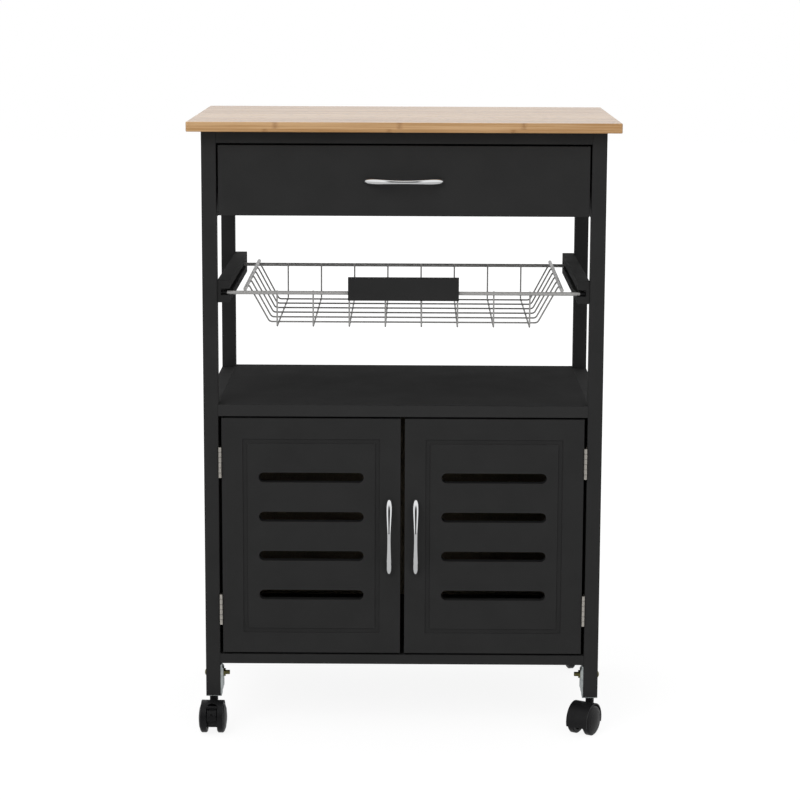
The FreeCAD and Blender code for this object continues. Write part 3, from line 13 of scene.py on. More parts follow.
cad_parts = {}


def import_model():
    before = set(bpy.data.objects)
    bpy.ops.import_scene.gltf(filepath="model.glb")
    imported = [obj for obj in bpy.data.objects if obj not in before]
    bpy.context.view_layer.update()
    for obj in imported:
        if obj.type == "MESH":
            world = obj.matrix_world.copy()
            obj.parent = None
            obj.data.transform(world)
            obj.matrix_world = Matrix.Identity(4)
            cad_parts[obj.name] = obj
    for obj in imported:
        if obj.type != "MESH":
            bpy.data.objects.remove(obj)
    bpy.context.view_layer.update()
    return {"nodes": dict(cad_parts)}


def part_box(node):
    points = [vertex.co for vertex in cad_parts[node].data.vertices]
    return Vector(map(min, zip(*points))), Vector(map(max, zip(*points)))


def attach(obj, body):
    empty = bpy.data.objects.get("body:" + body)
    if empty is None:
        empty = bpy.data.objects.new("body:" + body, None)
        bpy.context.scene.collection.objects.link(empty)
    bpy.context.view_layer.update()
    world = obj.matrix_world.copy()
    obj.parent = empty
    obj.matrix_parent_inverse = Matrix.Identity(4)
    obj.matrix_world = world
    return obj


LOG = logging.getLogger("kitchen_cart")
MM = 0.001
SHARP_EDGE = math.radians(35)
BROKEN_EDGE = math.radians(50)
SAME_POINT = 1e-6
RGBA = tuple[float, float, float, float]
Point = tuple[float, float, float]


class Axis(Enum):
    """Direction that grain, brushing or a turned part runs in."""

    X = (1.0, 0.0, 0.0)
    Y = (0.0, 1.0, 0.0)
    Z = (0.0, 0.0, 1.0)


class Way(Enum):
    """One of two opposite ways from the cart's middle, with the sign of its coordinate as value."""

    @property
    def word(self) -> str:
        """Word for the way in the names of nodes."""
        return self.name.lower()


class Side(Way):
    """Left or right side of the cart, along X."""

    LEFT = -1
    RIGHT = 1


class End(Way):
    """Front or back end of the cart, along Y."""

    FRONT = -1
    BACK = 1


def linear(hex_colour: str) -> RGBA:
    """Turn an sRGB hex colour to linear RGBA.

    Args:
        hex_colour: colour written as "#RRGGBB".

    Returns:
        Linear red, green and blue with an alpha of 1.
    """
    parts = [int(hex_colour[i:i + 2], 16) / 255 for i in (1, 3, 5)]
    red, green, blue = (part / 12.92 if part <= 0.04045 else ((part + 0.055) / 1.055) ** 2.4
                        for part in parts)
    return red, green, blue, 1.0


def add_node(tree: bpy.types.NodeTree, kind: str, settings: dict[str, object] | None = None,
             inputs: dict[str | int, object] | None = None) -> bpy.types.Node:
    """Add a node with its settings and links.

    Args:
        tree: tree that gets the node.
        kind: the node's type.
        settings: properties of the node.
        inputs: for each socket a value, a socket to link from, or a node whose first output is linked.

    Returns:
        The new node.
    """
    node = tree.nodes.new(kind)
    for key, value in (settings or {}).items():
        setattr(node, key, value)
    for key, value in (inputs or {}).items():
        socket = node.inputs[key]
        if isinstance(value, bpy.types.Node):
            value = value.outputs[0]
        if isinstance(value, bpy.types.NodeSocket):
            tree.links.new(value, socket)
        else:
            socket.default_value = value
    return node


@dataclass(frozen=True)
class Finish:
    """What a surface is made of and how it was finished.

    A finish sets constant values on the shader and lets its pattern drive colour, roughness and bump.
    """

    name: str
    base: str
    roughness: float
    metallic: float = 0.0
    specular: float = 0.5
    coat: float = 0.0
    coat_roughness: float = 0.12

    def material(self) -> bpy.types.Material:
        """Make the material, unless it has been made before.

        Returns:
            The material.
        """
        made = bpy.data.materials.get(self.name)
        if made:
            return made
        made = bpy.data.materials.new(self.name)
        made.use_nodes = True
        made.diffuse_color = linear(self.base)
        tree = made.node_tree
        tree.nodes.clear()
        shader = add_node(tree, "ShaderNodeBsdfPrincipled", {}, {
            "Base Color": linear(self.base), "Roughness": self.roughness, "Metallic": self.metallic,
            "Specular IOR Level": self.specular, "Coat Weight": self.coat,
            "Coat Roughness": self.coat_roughness})
        self.pattern(tree, shader)
        add_node(tree, "ShaderNodeOutputMaterial", {}, {"Surface": shader})
        return made

    def pattern(self, tree: bpy.types.NodeTree, shader: bpy.types.Node) -> None:
        """Link the surface's own pattern to the shader.

        Args:
            tree: the material's node tree.
            shader: the Principled shader that the pattern drives.
        """
        raise NotImplementedError

    def stretched(self, tree: bpy.types.NodeTree, scales_mm: Point) -> bpy.types.Node:
        """Give coordinates in which one unit is so many millimetres along X, Y and Z.

        Args:
            tree: the material's node tree.
            scales_mm: real length of one unit along each axis.

        Returns:
            The node with the scaled coordinates.
        """
        place = add_node(tree, "ShaderNodeTexCoord")
        per_metre = tuple(1 / (length * MM) for length in scales_mm)
        return add_node(tree, "ShaderNodeVectorMath", {"operation": "MULTIPLY"},
                        {0: place.outputs["Object"], 1: per_metre})

    def worn_edges(self, tree: bpy.types.NodeTree, radius_mm: float) -> bpy.types.Node:
        """Mask the outer edges of a piece, for rubbed wear, painted edge highlights and painted shade.

        Args:
            tree: the material's node tree.
            radius_mm: reach of the mask from an edge.

        Returns:
            The node whose value is 1 on an edge and 0 on a flat.
        """
        soft = add_node(tree, "ShaderNodeBevel", {"samples": 4}, {"Radius": radius_mm * MM})
        plain = add_node(tree, "ShaderNodeNewGeometry")
        same = add_node(tree, "ShaderNodeVectorMath", {"operation": "DOT_PRODUCT"},
                        {0: soft, 1: plain.outputs["Normal"]})
        return add_node(tree, "ShaderNodeMapRange", {}, {
            "Value": same.outputs["Value"], "From Min": 0.99, "From Max": 0.8,
            "To Min": 0.0, "To Max": 1.0})


@dataclass(frozen=True)
class PressedBamboo(Finish):
    """Bamboo strips glued edge to edge, planed, sanded and sealed with clear satin lacquer.

    To the eye: straight pale strips of slightly different tone, hair-fine fibres along them, darker
    knuckles where the cane had its joints, and a soft white sheen at a low angle. Chance sets the
    tone of each strip and how far its knuckles are shifted, for the strips of both plies.
    """

    warm: str = "#A37744"
    knuckle: str = "#7E5228"
    strip_mm: float = 21.3
    ply_mm: float = 8.8
    ply_seam_mm: float = 837.4
    knuckle_pitch_mm: float = 165.0
    knuckle_half_mm: float = 6.5
    knuckle_mottle_mm: Point = (3.2, 1.4, 1.4)
    longest_shift_mm: float = 1000.0
    strips_to_next_ply: float = 17.0
    streak_mm: Point = (190.0, 12.0, 2.6)
    fibre_mm: Point = (90.0, 0.9, 0.9)
    chance_share: float = 0.3
    knuckle_share: float = 0.45
    fibre_share: float = 0.5
    glue_share: float = 0.35
    glue_half_mm: float = 0.256
    relief_mm: float = 0.12

    def pattern(self, tree: bpy.types.NodeTree, shader: bpy.types.Node) -> None:
        """Draw strips in two plies, fibres, glue lines and knuckles.

        Args:
            tree: the material's node tree.
            shader: the Principled shader that the pattern drives.
        """
        place = add_node(tree, "ShaderNodeTexCoord")
        parts = add_node(tree, "ShaderNodeSeparateXYZ", {}, {0: place.outputs["Object"]})
        across = add_node(tree, "ShaderNodeMath", {"operation": "DIVIDE"},
                          {0: parts.outputs["Y"], 1: self.strip_mm * MM})
        strip = add_node(tree, "ShaderNodeMath", {"operation": "FLOOR"}, {0: across})
        height = add_node(tree, "ShaderNodeMath", {"operation": "MULTIPLY_ADD"},
                          {0: parts.outputs["Z"], 1: 1 / (self.ply_mm * MM),
                           2: -self.ply_seam_mm / self.ply_mm})
        ply = add_node(tree, "ShaderNodeMath", {"operation": "FLOOR"}, {0: height})
        lamella = add_node(tree, "ShaderNodeMath", {"operation": "MULTIPLY_ADD"},
                           {0: ply, 1: self.strips_to_next_ply, 2: strip})
        chance = add_node(tree, "ShaderNodeTexWhiteNoise", {"noise_dimensions": "1D"}, {"W": lamella})
        shift = add_node(tree, "ShaderNodeMath", {"operation": "MULTIPLY_ADD"},
                         {0: chance.outputs["Value"], 1: self.longest_shift_mm * MM,
                          2: parts.outputs["X"]})
        turns = add_node(tree, "ShaderNodeMath", {"operation": "DIVIDE"},
                         {0: shift, 1: self.knuckle_pitch_mm * MM})
        fraction = add_node(tree, "ShaderNodeMath", {"operation": "FRACT"}, {0: turns})
        from_middle = add_node(tree, "ShaderNodeMath", {"operation": "SUBTRACT"}, {0: fraction, 1: 0.5})
        distance = add_node(tree, "ShaderNodeMath", {"operation": "ABSOLUTE"}, {0: from_middle})
        fibres = add_node(tree, "ShaderNodeTexNoise", {}, {
            "Vector": self.stretched(tree, self.fibre_mm), "Scale": 1.0, "Detail": 3.0, "Roughness": 0.6})
        mottle = add_node(tree, "ShaderNodeTexNoise", {}, {
            "Vector": self.stretched(tree, self.knuckle_mottle_mm), "Scale": 1.0, "Detail": 3.0,
            "Roughness": 0.7})
        reach = self.knuckle_half_mm / self.knuckle_pitch_mm
        ragged = add_node(tree, "ShaderNodeMath", {"operation": "MULTIPLY_ADD"},
                          {0: mottle, 1: reach * 1.6, 2: distance})
        joint = add_node(tree, "ShaderNodeMapRange", {"interpolation_type": "SMOOTHSTEP"}, {
            "Value": ragged, "From Min": reach * 0.7, "From Max": reach * 1.7,
            "To Min": self.knuckle_share, "To Max": 0.0})
        broad = add_node(tree, "ShaderNodeTexNoise", {}, {
            "Vector": self.stretched(tree, self.streak_mm), "Scale": 1.0, "Detail": 3.0})
        tone = add_node(tree, "ShaderNodeMath", {"operation": "MULTIPLY_ADD"},
                        {0: chance.outputs["Value"], 1: self.chance_share, 2: broad})
        warmth = add_node(tree, "ShaderNodeMapRange", {}, {
            "Value": tone, "From Min": 0.48, "From Max": 0.84, "To Min": 0.0, "To Max": 1.0})
        plain = add_node(tree, "ShaderNodeMix", {"data_type": "RGBA"},
                         {0: warmth, 6: linear(self.base), 7: linear(self.warm)})
        streak = add_node(tree, "ShaderNodeMapRange", {}, {
            "Value": fibres, "From Min": 0.5, "From Max": 0.75, "To Min": 0.0, "To Max": self.fibre_share})
        streaked = add_node(tree, "ShaderNodeMix", {"data_type": "RGBA"},
                            {0: streak, 6: plain.outputs[2], 7: linear(self.warm)})
        knotted = add_node(tree, "ShaderNodeMix", {"data_type": "RGBA"},
                           {0: joint, 6: streaked.outputs[2], 7: linear(self.knuckle)})
        seam = add_node(tree, "ShaderNodeMath", {"operation": "PINGPONG"}, {0: across, 1: 0.5})
        glue = add_node(tree, "ShaderNodeMapRange", {}, {
            "Value": seam, "From Min": 0.0, "From Max": self.glue_half_mm / self.strip_mm,
            "To Min": self.glue_share, "To Max": 0.0})
        glued = add_node(tree, "ShaderNodeMix", {"data_type": "RGBA"},
                         {0: glue, 6: knotted.outputs[2], 7: linear(self.knuckle)})
        sheen = add_node(tree, "ShaderNodeMapRange", {}, {
            "Value": fibres, "From Min": 0.3, "From Max": 0.7,
            "To Min": self.roughness - 0.05, "To Max": self.roughness + 0.09})
        depth = add_node(tree, "ShaderNodeMath", {"operation": "SUBTRACT"}, {0: fibres, 1: glue})
        bump = add_node(tree, "ShaderNodeBump", {},
                        {"Height": depth, "Strength": 0.25, "Distance": self.relief_mm * MM})
        tree.links.new(glued.outputs[2], shader.inputs["Base Color"])
        tree.links.new(sheen.outputs[0], shader.inputs["Roughness"])
        tree.links.new(bump.outputs[0], shader.inputs["Normal"])


@dataclass(frozen=True)
class SprayedPaint(Finish):
    """Black acrylic paint sprayed on pine or fibreboard and left satin.

    To the eye: an even near-black with a slight orange-peel ripple. On solid wood the grain shows
    faintly through the film, and the edges are lighter: rubbed wear and a painted highlight.
    """

    grain: Axis | None = None
    # lighter colour of the edges: rubbed wear and a painted highlight
    rubbed_and_highlit: str = "#3A3A3A"
    peel_mm: float = 2.2
    grain_mm: float = 1.6
    grain_length_mm: float = 60.0
    cloud_mm: float = 45.0
    cloud_share: float = 0.14
    wear_mm: float = 0.7
    relief_mm: float = 0.08

    def pattern(self, tree: bpy.types.NodeTree, shader: bpy.types.Node) -> None:
        """Draw the ripple, the wood's grain under the film and the lighter edges: rubbed wear with a
        painted highlight.

        Args:
            tree: the material's node tree.
            shader: the Principled shader that the pattern drives.
        """
        peel = add_node(tree, "ShaderNodeTexNoise", {}, {
            "Vector": self.stretched(tree, (self.peel_mm,) * 3), "Scale": 1.0, "Detail": 1.0})
        height = peel
        if self.grain:
            spans = tuple(self.grain_length_mm if along else self.grain_mm for along in self.grain.value)
            lines = add_node(tree, "ShaderNodeTexNoise", {}, {
                "Vector": self.stretched(tree, spans), "Scale": 1.0, "Detail": 4.0, "Roughness": 0.65})
            height = add_node(tree, "ShaderNodeMath", {"operation": "MULTIPLY_ADD"},
                              {0: lines, 1: 2.0, 2: peel})
        cloud = add_node(tree, "ShaderNodeTexNoise", {}, {
            "Vector": self.stretched(tree, (self.cloud_mm,) * 3), "Scale": 1.0, "Detail": 3.0})
        uneven = add_node(tree, "ShaderNodeMapRange", {}, {
            "Value": cloud, "From Min": 0.3, "From Max": 0.7,
            "To Min": 0.0, "To Max": self.cloud_share})
        # lighter edges: rubbed wear, and a painted highlight along every edge
        edge = self.worn_edges(tree, self.wear_mm)
        wear_and_highlight = add_node(tree, "ShaderNodeMath", {"operation": "MULTIPLY"}, {0: edge, 1: cloud})
        lighter = add_node(tree, "ShaderNodeMath", {"operation": "MAXIMUM"}, {0: uneven, 1: wear_and_highlight})
        colour = add_node(tree, "ShaderNodeMix", {"data_type": "RGBA"},
                          {0: lighter, 6: linear(self.base), 7: linear(self.rubbed_and_highlit)})
        gloss = add_node(tree, "ShaderNodeMapRange", {}, {
            "Value": cloud, "From Min": 0.3, "From Max": 0.7,
            "To Min": self.roughness - 0.04, "To Max": self.roughness + 0.06})
        bump = add_node(tree, "ShaderNodeBump", {},
                        {"Height": height, "Strength": 0.2, "Distance": self.relief_mm * MM})
        tree.links.new(colour.outputs[2], shader.inputs["Base Color"])
        tree.links.new(gloss.outputs[0], shader.inputs["Roughness"])
        tree.links.new(bump.outputs[0], shader.inputs["Normal"])


@dataclass(frozen=True)
class FoiledBoard(Finish):
    """Hardboard with black foil on its outer face and bare pressed fibres on its inner face.

    To the eye: even satin black outside; inside a dry mid-brown with short darker hairs.
    """

    bare: str = "#7C7262"
    hair: str = "#544B3E"
    hair_mm: Point = (2.4, 0.5, 1.1)
    hair_share: float = 0.8
    bare_roughness: float = 0.9
    relief_mm: float = 0.1
    outer_y_mm: float = 164.0

    def pattern(self, tree: bpy.types.NodeTree, shader: bpy.types.Node) -> None:
        """Draw fibres on the inner side and a foil with a slight ripple on the outer side.

        Args:
            tree: the material's node tree.
            shader: the Principled shader that the pattern drives.
        """
        place = add_node(tree, "ShaderNodeTexCoord")
        parts = add_node(tree, "ShaderNodeSeparateXYZ", {}, {0: place.outputs["Object"]})
        outside = add_node(tree, "ShaderNodeMath", {"operation": "GREATER_THAN"},
                           {0: parts.outputs["Y"], 1: self.outer_y_mm * MM})
        hairs = add_node(tree, "ShaderNodeTexNoise", {}, {
            "Vector": self.stretched(tree, self.hair_mm), "Scale": 1.0, "Detail": 5.0, "Roughness": 0.7})
        darker = add_node(tree, "ShaderNodeMapRange", {}, {
            "Value": hairs, "From Min": 0.42, "From Max": 0.7, "To Min": 0.0, "To Max": self.hair_share})
        fibres = add_node(tree, "ShaderNodeMix", {"data_type": "RGBA"},
                          {0: darker, 6: linear(self.bare), 7: linear(self.hair)})
        colour = add_node(tree, "ShaderNodeMix", {"data_type": "RGBA"},
                          {0: outside, 6: fibres.outputs[2], 7: linear(self.base)})
        dry = add_node(tree, "ShaderNodeMapRange", {}, {
            "Value": outside, "To Min": self.bare_roughness, "To Max": self.roughness})
        bump = add_node(tree, "ShaderNodeBump", {},
                        {"Height": hairs, "Strength": 0.2, "Distance": self.relief_mm * MM})
        tree.links.new(colour.outputs[2], shader.inputs["Base Color"])
        tree.links.new(dry.outputs[0], shader.inputs["Roughness"])
        tree.links.new(bump.outputs[0], shader.inputs["Normal"])


@dataclass(frozen=True)
class PlatedSteel(Finish):
    """Steel or zinc casting that was polished, drawn, brushed or tumbled and then plated.

    To the eye: a mirror where it was polished, fine lines where it was drawn or brushed, cloudy
    patches where it was tumbled, and always a few duller smears. Real lines are finer than a pixel,
    so they are drawn as coarse as they need to show.
    """

    metallic: float = 1.0
    clouded: str = "#9A9A9A"
    clouding: float = 0.12
    cloud_mm: float = 9.0
    lines: Axis | None = None
    line_mm: float = 0.35
    line_length_mm: float = 25.0
    line_depth: float = 0.15
    relief_mm: float = 0.05
    pit_mm: float = 0.8
    smear: float = 1.6
    edge_shade: str = "#4E4A46"
    edge_shade_mm: float = 0.0

    def pattern(self, tree: bpy.types.NodeTree, shader: bpy.types.Node) -> None:
        """Draw smears, painted shade that darkens the edges where asked, and, where the metal was drawn or
        brushed, its lines.

        Args:
            tree: the material's node tree.
            shader: the Principled shader that the pattern drives.
        """
        cloud = add_node(tree, "ShaderNodeTexNoise", {}, {
            "Vector": self.stretched(tree, (self.cloud_mm,) * 3), "Scale": 1.0, "Detail": 4.0})
        patch = add_node(tree, "ShaderNodeMapRange", {}, {
            "Value": cloud, "From Min": 0.4, "From Max": 0.75, "To Min": 0.0, "To Max": self.clouding})
        colour = add_node(tree, "ShaderNodeMix", {"data_type": "RGBA"},
                          {0: patch, 6: linear(self.base), 7: linear(self.clouded)})
        # painted shade: darkens every edge of the part, standing in for the shade in the gaps between hinge
        # knuckles
        if self.edge_shade_mm > 0:
            edge = self.worn_edges(tree, self.edge_shade_mm)
            colour = add_node(tree, "ShaderNodeMix", {"data_type": "RGBA"},
                              {0: edge, 6: colour.outputs[2], 7: linear(self.edge_shade)})
        tree.links.new(colour.outputs[2], shader.inputs["Base Color"])
        dulled = add_node(tree, "ShaderNodeMapRange", {}, {
            "Value": cloud, "From Min": 0.35, "From Max": 0.75,
            "To Min": self.roughness, "To Max": self.roughness * self.smear})
        tree.links.new(dulled.outputs[0], shader.inputs["Roughness"])
        spans = (self.pit_mm,) * 3
        if self.lines:
            spans = tuple(self.line_length_mm if along else self.line_mm for along in self.lines.value)
        lines = add_node(tree, "ShaderNodeTexNoise", {}, {
            "Vector": self.stretched(tree, spans), "Scale": 1.0, "Detail": 2.0})
        bump = add_node(tree, "ShaderNodeBump", {},
                        {"Height": lines, "Strength": self.line_depth, "Distance": self.relief_mm * MM})
        tree.links.new(bump.outputs[0], shader.inputs["Normal"])


@dataclass(frozen=True)
class MouldedPlastic(Finish):
    """Black nylon, injection moulded in a tool with a fine spark-eroded or polished cavity.

    To the eye: a soft grey highlight broken by a fine pebble grain. The real grain is finer than a
    pixel, so it is drawn as coarse as it needs to show.
    """

    scuffed: str = "#3C3C3E"
    pebble_mm: float = 0.7
    pebble_depth: float = 0.3
    relief_mm: float = 0.06
    cloud_mm: float = 6.0
    wear_mm: float = 0.5

    def pattern(self, tree: bpy.types.NodeTree, shader: bpy.types.Node) -> None:
        """Draw the pebble grain and the scuffs along edges.

        Args:
            tree: the material's node tree.
            shader: the Principled shader that the pattern drives.
        """
        pebble = add_node(tree, "ShaderNodeTexVoronoi", {"feature": "SMOOTH_F1"}, {
            "Vector": self.stretched(tree, (self.pebble_mm,) * 3), "Scale": 1.0})
        cloud = add_node(tree, "ShaderNodeTexNoise", {}, {
            "Vector": self.stretched(tree, (self.cloud_mm,) * 3), "Scale": 1.0, "Detail": 4.0})
        edge = self.worn_edges(tree, self.wear_mm)
        scuff = add_node(tree, "ShaderNodeMath", {"operation": "MULTIPLY"}, {0: edge, 1: cloud})
        colour = add_node(tree, "ShaderNodeMix", {"data_type": "RGBA"},
                          {0: scuff, 6: linear(self.base), 7: linear(self.scuffed)})
        gloss = add_node(tree, "ShaderNodeMapRange", {}, {
            "Value": cloud, "From Min": 0.3, "From Max": 0.7,
            "To Min": self.roughness - 0.05, "To Max": self.roughness + 0.1})
        bump = add_node(tree, "ShaderNodeBump", {}, {
            "Height": pebble, "Strength": self.pebble_depth, "Distance": self.relief_mm * MM})
        tree.links.new(colour.outputs[2], shader.inputs["Base Color"])
        tree.links.new(gloss.outputs[0], shader.inputs["Roughness"])
        tree.links.new(bump.outputs[0], shader.inputs["Normal"])


BAMBOO = PressedBamboo("pressed_bamboo_satin_lacquer", "#C8A276", 0.26, coat=0.15)
PAINT_UPRIGHT = SprayedPaint("sprayed_black_on_upright_pine", "#292929", 0.6, specular=0.09, grain=Axis.Z)
PAINT_CROSSWISE = SprayedPaint("sprayed_black_on_cross_pine", "#272727", 0.6, specular=0.09, grain=Axis.X)
PAINT_LENGTHWISE = SprayedPaint("sprayed_black_on_side_pine", "#282828", 0.7, specular=0.04, grain=Axis.Y)
PAINT_FLAT = SprayedPaint("sprayed_black_on_fibreboard", "#292929", 0.6, specular=0.09)
PAINT_MATT = SprayedPaint("matt_black_on_shelf", "#303030", 0.8, specular=0.02, peel_mm=1.4)
THIN_BOARD = SprayedPaint("black_foil_on_hardboard", "#202021", 0.62, specular=0.1, peel_mm=0.9)
BACK_BOARD = FoiledBoard("hardboard_with_black_foil_outside", "#202021", 0.62, specular=0.1)
CHROME = PlatedSteel("polished_chrome_casting", "#E2E3E4", 0.02, clouding=0.05, line_depth=0.03)
BRIGHT_ROD = PlatedSteel("bright_nickel_rod", "#B0AFAD", 0.3, metallic=0.4, lines=Axis.X, line_depth=0.05)
BRIGHT_WIRE = PlatedSteel("nickel_wire_front_to_back", "#ADACAA", 0.32, metallic=0.6, lines=Axis.Y,
                          line_depth=0.05)
GREY_WIRE = PlatedSteel("nickel_wire_left_to_right", "#9E9D9B", 0.32, metallic=0.6, lines=Axis.X,
                        line_depth=0.05)
# the hinge metal gets painted shade along its edges, for the dark gaps between knuckles
BRUSHED = PlatedSteel("brushed_nickel_strip", "#C9C4BC", 0.34, lines=Axis.Z, line_depth=0.4, edge_shade_mm=0.7)
WHITE_ZINC = PlatedSteel("white_zinc_pressed_sheet", "#CDD3D2", 0.36, clouded="#A7B0B2", clouding=0.5)
YELLOW_ZINC = PlatedSteel("yellow_zinc_cold_headed", "#77724A", 0.34, clouded="#5A5E3E", clouding=0.7,
                          cloud_mm=4.0)
GROUND_STEEL = PlatedSteel("ground_steel_pin", "#A5A5A6", 0.25, lines=Axis.Z)
MAGNET = PlatedSteel("sintered_ferrite_magnet", "#3A3B3D", 0.5, metallic=0.6)
HOOD_NYLON = MouldedPlastic("spark_eroded_black_nylon", "#141415", 0.42, specular=0.2)
WHEEL_NYLON = MouldedPlastic("polished_black_nylon", "#141415", 0.3, specular=0.2, pebble_mm=1.6,
                             pebble_depth=0.12)


@dataclass(frozen=True)
class ScrewHead:
    """Screw head with a cross recess.

    The first three sizes and the depth of the seat are in millimetres. The shares are of the head's
    radius or rise, and recess_taper is what is left of the cross at its bottom.
    """

    radius: float
    rise: float
    recess: float
    deepest_seat: float = 0.2
    seat_share: float = 0.9
    crown_share: float = 0.92
    shoulder_share: float = 0.6
    arm_share: float = 0.62
    slot_share: float = 0.16
    recess_taper: float = 0.7


HANDLE_HEAD = ScrewHead(4.0, 0.8, 0.7)
PLATE_HEAD = ScrewHead(2.4, 0.25, 0.22)
LEAF_HEAD = ScrewHead(2.7, 0.35, 0.3)


class Shell:
    """Closed mesh drawn in millimetres, which becomes one object in metres."""

    def __init__(self) -> None:
        """Start with no faces."""
        self.mesh = bmesh.new()

    def ring(self, radii: Sequence[float], height: float, place: Matrix) -> list[bmesh.types.BMVert]:
        """Set points evenly round the local Z axis.

        Args:
            radii: radius of each point.
            height: height of all points.
            place: where the local axes stand.

        Returns:
            The points in order.
        """
        step = 2 * math.pi / len(radii)
        points = [(radius * math.cos(step * i), radius * math.sin(step * i), height)
                  for i, radius in enumerate(radii)]
        return [self.mesh.verts.new(place @ Vector(point)) for point in points]

    def lathe(self, profile: Sequence[tuple[float, float]], place: Matrix,
              segments: int = 40) -> list[bmesh.types.BMVert]:
        """Turn a profile about the local Z axis.

        Args:
            profile: radius and height of each point; a radius of 0 closes the turned form.
            place: where the local axes stand.
            segments: points round the turned form.

        Returns:
            The last ring of points.
        """
        rings = [self.ring([radius] * (segments if radius > 0 else 1), height, place)
                 for radius, height in profile]
        for low, high in zip(rings, rings[1:]):
            self.bridge(low, high)
        return rings[-1]

    def bridge(self, low: list[bmesh.types.BMVert], high: list[bmesh.types.BMVert]) -> None:
        """Join two rings, or a ring and a single point, with faces.

        Args:
            low: first ring or point.
            high: second ring or point.
        """
        count = max(len(low), len(high))
        for i in range(count):
            following = (i + 1) % count
            corners = [low[i % len(low)], low[following % len(low)],
                       high[following % len(high)], high[i % len(high)]]
            self.mesh.faces.new(list(dict.fromkeys(corners)))

    def thread(self, root: float, crest: float, pitch: float, length: float, place: Matrix) -> None:
        """Cut a helical thread along the local Z axis, with a chamfered end.

        Args:
            root: radius at the bottom of the thread.
            crest: radius at the top of the thread.
            pitch: rise of the thread for each turn.
            length: threaded length.
            place: where the local axes stand.
        """
        around = 24
        rows_per_turn = 8
        fading_rows = 6
        core = root * 0.8
        chamfer = root - core
        inner = [core] * around
        steps = max(4, round(length / pitch * rows_per_turn))
        rings = [self.ring(inner, 0.0, place)]
        for row in range(steps + 1):
            height = length * row / steps
            depth = (crest - root) * min(1.0, row / fading_rows, (steps - row) / fading_rows)
            phases = [(height / pitch - i / around) % 1.0 for i in range(around)]
            rings.append(self.ring([root + depth * (1 - abs(2 * phase - 1)) for phase in phases],
                                   height, place))
        rings.append(self.ring(inner, length + chamfer, place))
        for low, high in zip(rings, rings[1:]):
            self.bridge(low, high)
        self.mesh.faces.new(rings[0])
        self.mesh.faces.new(rings[-1])

    def cross_head(self, head: ScrewHead, place: Matrix) -> None:
        """Draw a screw head, its outer face towards local +Z.

        Args:
            head: sizes of the head.
            place: where the local axes stand, at the middle of its seat.
        """
        around = 24
        sunk = min(head.rise, head.deepest_seat)
        rim = self.lathe([(0.0, -sunk), (head.radius * head.seat_share, -sunk), (head.radius, 0.0),
                          (head.radius * head.crown_share, head.rise * head.shoulder_share)],
                         place, around)
        reach = head.radius * head.arm_share
        slot = head.radius * head.slot_share
        arm = [(reach, -slot), (reach, slot), (slot, slot)]
        turns = [(1, 0), (0, 1), (-1, 0), (0, -1)]
        cross = [(x * cos - y * sin, x * sin + y * cos) for cos, sin in turns for x, y in arm]
        upper = [self.mesh.verts.new(place @ Vector((x, y, head.rise))) for x, y in cross]
        taper, floor = head.recess_taper, head.rise - head.recess
        lower = [self.mesh.verts.new(place @ Vector((x * taper, y * taper, floor))) for x, y in cross]
        edges = [self.edge_between(loop[i - 1], loop[i]) for loop in (rim, upper) for i in range(len(loop))]
        bmesh.ops.triangle_fill(self.mesh, use_beauty=True, edges=edges)
        self.bridge(upper, lower)
        self.mesh.faces.new(lower)

    def edge_between(self, one: bmesh.types.BMVert, other: bmesh.types.BMVert) -> bmesh.types.BMEdge:
        """Return the edge between two points, made where it is missing."""
        return self.mesh.edges.get((one, other)) or self.mesh.edges.new((one, other))

    def bead(self, centre: Point, radii: Point) -> None:
        """Add an oval bead.

        Args:
            centre: middle of the bead.
            radii: half lengths along X, Y and Z.
        """
        place = Matrix.Translation(centre) @ Matrix.Diagonal((*radii, 1.0))
        bmesh.ops.create_icosphere(self.mesh, subdivisions=2, radius=1.0, matrix=place)

    def slab(self, outline: Sequence[tuple[float, float]], thickness: float, place: Matrix,
             rounding: float = 0.0) -> None:
        """Raise a flat outline along local Z and round its edges.

        Args:
            outline: corners in local X and Y.
            thickness: height of the slab.
            place: where the local axes stand.
            rounding: bevel of every edge.
        """
        low = [self.mesh.verts.new(place @ Vector((x, y, 0.0))) for x, y in outline]
        high = [self.mesh.verts.new(place @ Vector((x, y, thickness))) for x, y in outline]
        before = set(self.mesh.edges)
        self.bridge(low, high)
        self.mesh.faces.new(low)
        self.mesh.faces.new(high)
        if rounding > 0:
            edges = [edge for edge in self.mesh.edges if edge not in before]
            bmesh.ops.bevel(self.mesh, geom=edges, offset=rounding, segments=2, profile=0.5, affect="EDGES")

    def become(self, name: str, finish: Finish, body: str, slot: str) -> bpy.types.Object:
        """Turn the mesh into a finished object that rides on a body.

        Args:
            name: name of the piece.
            finish: its finish.
            body: body that it moves with.
            slot: material slot of the record that its finish belongs to; not used.

        Returns:
            The new object.
        """
        bmesh.ops.recalc_face_normals(self.mesh, faces=self.mesh.faces)
        bmesh.ops.scale(self.mesh, vec=(MM, MM, MM), verts=self.mesh.verts)
        data = bpy.data.meshes.new(name)
        self.mesh.to_mesh(data)
        self.mesh.free()
        piece = bpy.data.objects.new(name, data)
        bpy.context.scene.collection.objects.link(piece)
        data.materials.append(finish.material())
        data.shade_smooth()
        data.set_sharp_from_angle(angle=SHARP_EDGE)
        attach(piece, body)
        LOG.info("%s on %s", name, body)
        return piece


